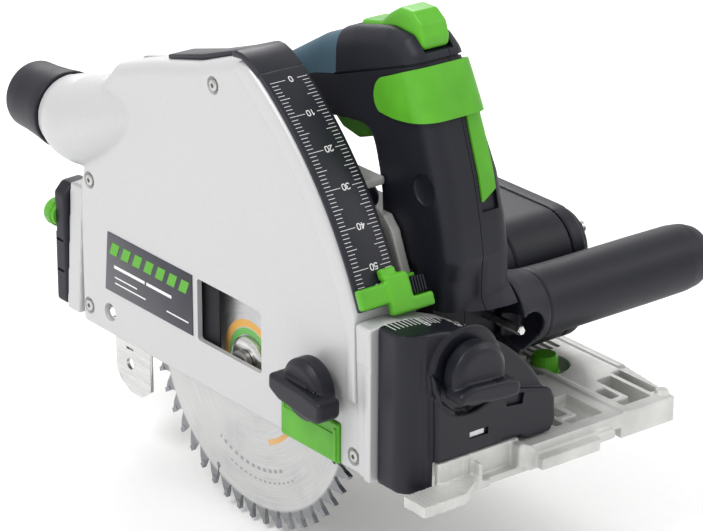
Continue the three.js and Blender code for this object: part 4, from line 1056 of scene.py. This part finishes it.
def saw_blade():
    teeth = 48
    half = 0.9
    outline, tips = [], []
    for i in range(teeth):
        start = 360 * i / teeth
        pitch = 360 / teeth
        # The blade turns so that its front rises through the work: faces point to lower angles
        for part, r in ((0.0, 79.2), (0.16, 78.6), (0.42, 76.0), (0.62, 73.2), (0.74, 71.6), (0.86, 71.4), (0.95, 73.0),
                        (0.985, 75.4)):
            outline.append(arc(ARBOR, r, start + part * pitch, start, 1)[0])
        corners = [(-0.012, 75.6), (-0.03, 80.0), (0.17, 79.5), (0.2, 75.9)]
        tips.append([arc(ARBOR, r, start + part * pitch, start, 1)[0] for part, r in corners])
    plate = prism(outline, "x", BLADE_X - half, BLADE_X + half)
    holes = [rod("x", ARBOR, 4.4, 0, 20, 32)]
    for k in range(4):
        base = 20 + 90 * k
        bend_line = [arc(ARBOR, r, base + (80 - r) * 0.25, 0, 1)[0] for r in (81, 76, 72, 68, 65)]
        left, right = [], []
        for (y0, z0), (y1, z1) in zip(bend_line, bend_line[1:]):
            d = math.hypot(y1 - y0, z1 - z0)
            n = (-(z1 - z0) / d * 0.4, (y1 - y0) / d * 0.4)
            left.append((y0 + n[0], z0 + n[1]))
            right.append((y0 - n[0], z0 - n[1]))
        holes.append(prism(left + right[::-1], "x", 5, 16))
        end = bend_line[-2]
        holes.append(rod("x", end, 1.5, 5, 16, 16))
    cut(plate, *holes)
    finish_piece(plate, "saw blade plate", "arbor", STEEL, blade_plate, ["saw_blade"], 30)
    wide = [prism(tip, "x", BLADE_X - 1.15, BLADE_X + 1.15) for tip in tips]
    finish_piece(join(*wide), "carbide teeth", "arbor", STEEL, carbide, (), 30)


def small_steel():
    outer = lathe("x", ARBOR, [(6.6, 9.4), (7.0, 11.2), (7.9, 12.4), (9.5, 12.6)], 64)
    cut(outer, rod("x", ARBOR, 4.4, 5, 12, 32))
    finish_piece(outer, "outer flange", "arbor", STEEL, bright_x, ["outer_flange"], 35)
    bolt = lathe("x", ARBOR, [(3.2, 6.2), (3.6, 6.8), (6.3, 6.8), (6.35, 4), (11.4, 4)], 48)
    cut(bolt, lathe("x", ARBOR, [(2, 3.1), (5.2, 3.0)], 6))
    finish_piece(bolt, "arbor bolt", "arbor", STEEL, dark_steel, ["arbor_bolt"], 30)
    knife = copy_of("riving_knife")
    round_edges(knife, 0.35, 2, 50)
    cut(knife, slab(5, 16, 96.5, 102.5, -9, -7.8))
    finish_piece(knife, "riving knife", "riving_knife", STEEL, bright_x, ["riving_knife"], 30)
    x, z = 70.5, 60
    key = lathe("y", (x, z), [(-119, 1.7), (-118.4, 2.2), (-80, 2.2)], 6)
    finish_piece(key, "hex key", "hex_key", BRIGHT, bright, ["hex_key"], 30)
    pin = lathe("x", (115, 45), [(14.5, 4.4), (15, 5), (44, 5), (44.1, 8.2), (45, 8.5), (46, 8.5), (46.5, 7.8)], 48)
    cut(pin, lathe("x", (115, 45), [(45, 2.6), (50, 2.7)], 6))
    finish_piece(pin, "plunge pin", "guard", STEEL, bright_x, ["plunge_pin"], 35)


# ------------------------------------------------------------------ base

def base_plate():
    plate = copy_of("base_plate")
    extra = [
        slab(150.6, 155, -96, 150, 9, 13.0, 0.8, 2),
        slab(119, 123, -134, 158, 9, 12.8, 0.6, 2),
        slab(15.8, 40, -136, -129, 0.4, 3.6, 0.8, 2),
        slab(101, 112, -137.4, -133, 3, 8, 1.5, 2),
        slab(34, 36.4, -134.5, -129, 3, 12, 0.6, 2),
        slab(56.4, 60.6, -135.4, -129, 3, 14.6, 1.2, 3),
        prism([(60, 1.4), (66.4, 1.4), (66.4, 9.6), (63.2, 12.8), (60, 14.4)], "y", -135.8, -131, 0.6, 2),
        lathe("z", (148, -127.6), [(10, 3.4), (13.4, 3.2), (14.0, 2.4)], 24),
    ]
    body = mould(join(plate, *extra), 0.6, 2)
    ribs = [slab(126 + 4.5 * i, 128.6 + 4.5 * i, -60, 90, 10.4, 20) for i in range(5)]
    cut_fast(body, *ribs)
    # The foot at the front left is left rough by the casting
    swell(body, lambda x, y, z: (0.25 * math.sin(x * 2.1 + y * 1.3) * math.sin(y * 1.9 - x)
                                 * step(-y, 128, 3) * step(40 - x, 5, 5)))
    finish_piece(body, "base plate", "base", CAST, cast_metal, ["base_plate"])
    for name, y in (("rail_cam_front", -71), ("rail_cam_rear", 104)):
        cam = lathe("z", (CAM_X, y), [(0.5, 4), (7.4, 4), (7.5, 7.4), (9, 7.4), (9.2, 6.6), (16.4, 6.4),
                                      (17.4, 5.4)], 48)
        knurl = []
        for i in range(24):
            a = 2 * math.pi * i / 24
            knurl.append(rod("z", (CAM_X + 6.7 * math.cos(a), y + 6.7 * math.sin(a)), 0.38, 9.6, 19, 6))
        cut_fast(cam, *knurl)
        finish_piece(cam, name.replace("_", " "), name, GREEN, green, [name], 30)


def frame_and_rest():
    finish_piece(mould(copy_of("guard_frame"), 0.8, 2), "guard frame", "guard", CAST, cast_dull, ["guard_frame"])
    kept = {
        "plunge_return_spring": dark_steel, "switch_block": carbon, "speed_board": board, "power_inlet": navy,
        "stator": dark_steel, "brush_carrier": carbon, "spindle_bearing": bright_x, "motor_bearing_front": bright_x,
        "motor_bearing_rear": bright_x, "inner_flange": bright_x, "spindle": bright_x, "spindle_gear": dark_steel,
        "layshaft": dark_steel, "armature_shaft": bright_x, "armature_core": copper, "commutator": copper,
        "cooling_fan": navy_fine,
    }
    for node, paint in kept.items():
        obj = NODES[node]
        mod = obj.modifiers.new("eased edges", "BEVEL")
        mod.width = 0.0003
        mod.segments = 2
        mod.limit_method = "ANGLE"
        mod.angle_limit = math.radians(35)
        obj.data.materials.clear()
        obj.data.materials.append(paint.material)


# ------------------------------------------------------------------ studio

def studio():
    floor = add_mesh("floor", [(-4000, -4000, -62), (4000, -4000, -62), (4000, 4000, -62), (-4000, 4000, -62)],
                     [(0, 1, 2, 3)])
    floor.data.materials.append(floor_paint().material)


def camera():
    data = bpy.data.cameras.new("camera")
    data.lens = 166.5
    data.sensor_width = 36.0
    data.clip_start = 0.05
    data.clip_end = 20
    cam = bpy.data.objects.new("camera", data)
    bpy.context.scene.collection.objects.link(cam)
    az, el, roll = math.radians(-37.92), math.radians(22.36), math.radians(0.12)
    cam.location = (-0.88155, -1.10371, 0.62855)
    right = Vector((math.cos(az), math.sin(az), 0))
    forward = Vector((-math.sin(az) * math.cos(el), math.cos(az) * math.cos(el), -math.sin(el)))
    up = right.cross(forward)
    turned = Matrix((right, up, -forward)).transposed() @ Matrix.Rotation(roll, 3, "Z")
    cam.rotation_euler = turned.to_euler()
    bpy.context.scene.camera = cam


def light(name, place, size, energy, target=(0, 0, 0.06)):
    data = bpy.data.lights.new(name, "AREA")
    data.energy = energy
    data.shape = "RECTANGLE"
    data.size = size
    data.size_y = size
    obj = bpy.data.objects.new(name, data)
    obj.location = place
    obj.rotation_euler = (Vector(target) - Vector(place)).to_track_quat("-Z", "Y").to_euler()
    bpy.context.scene.collection.objects.link(obj)


def lights():
    light("key light", (-1.2, -0.1, 1.5), 0.7, 15)
    light("front fill", (1.3, -1.0, 1.2), 0.7, 5)
    light("back light", (0.7, 1.3, 1.2), 0.8, 14)
    world = bpy.data.worlds.new("studio")
    world.use_nodes = True
    world.node_tree.nodes["Background"].inputs[0].default_value = (1, 1, 1, 1)
    world.node_tree.nodes["Background"].inputs[1].default_value = 0.86
    bpy.context.scene.world = world
    bpy.context.scene.view_settings.view_transform = "Standard"


random.seed(7)
guard_cover()
cover_screws()
label()
depth_band()
handle()
handle_parts()
front_handle()
front_bracket()
front_segment()
knobs()
splinter_guard()
depth_stop()
nozzle()
rear_parts()
motor_parts()
saw_blade()
small_steel()
base_plate()
frame_and_rest()
studio()
camera()
lights()
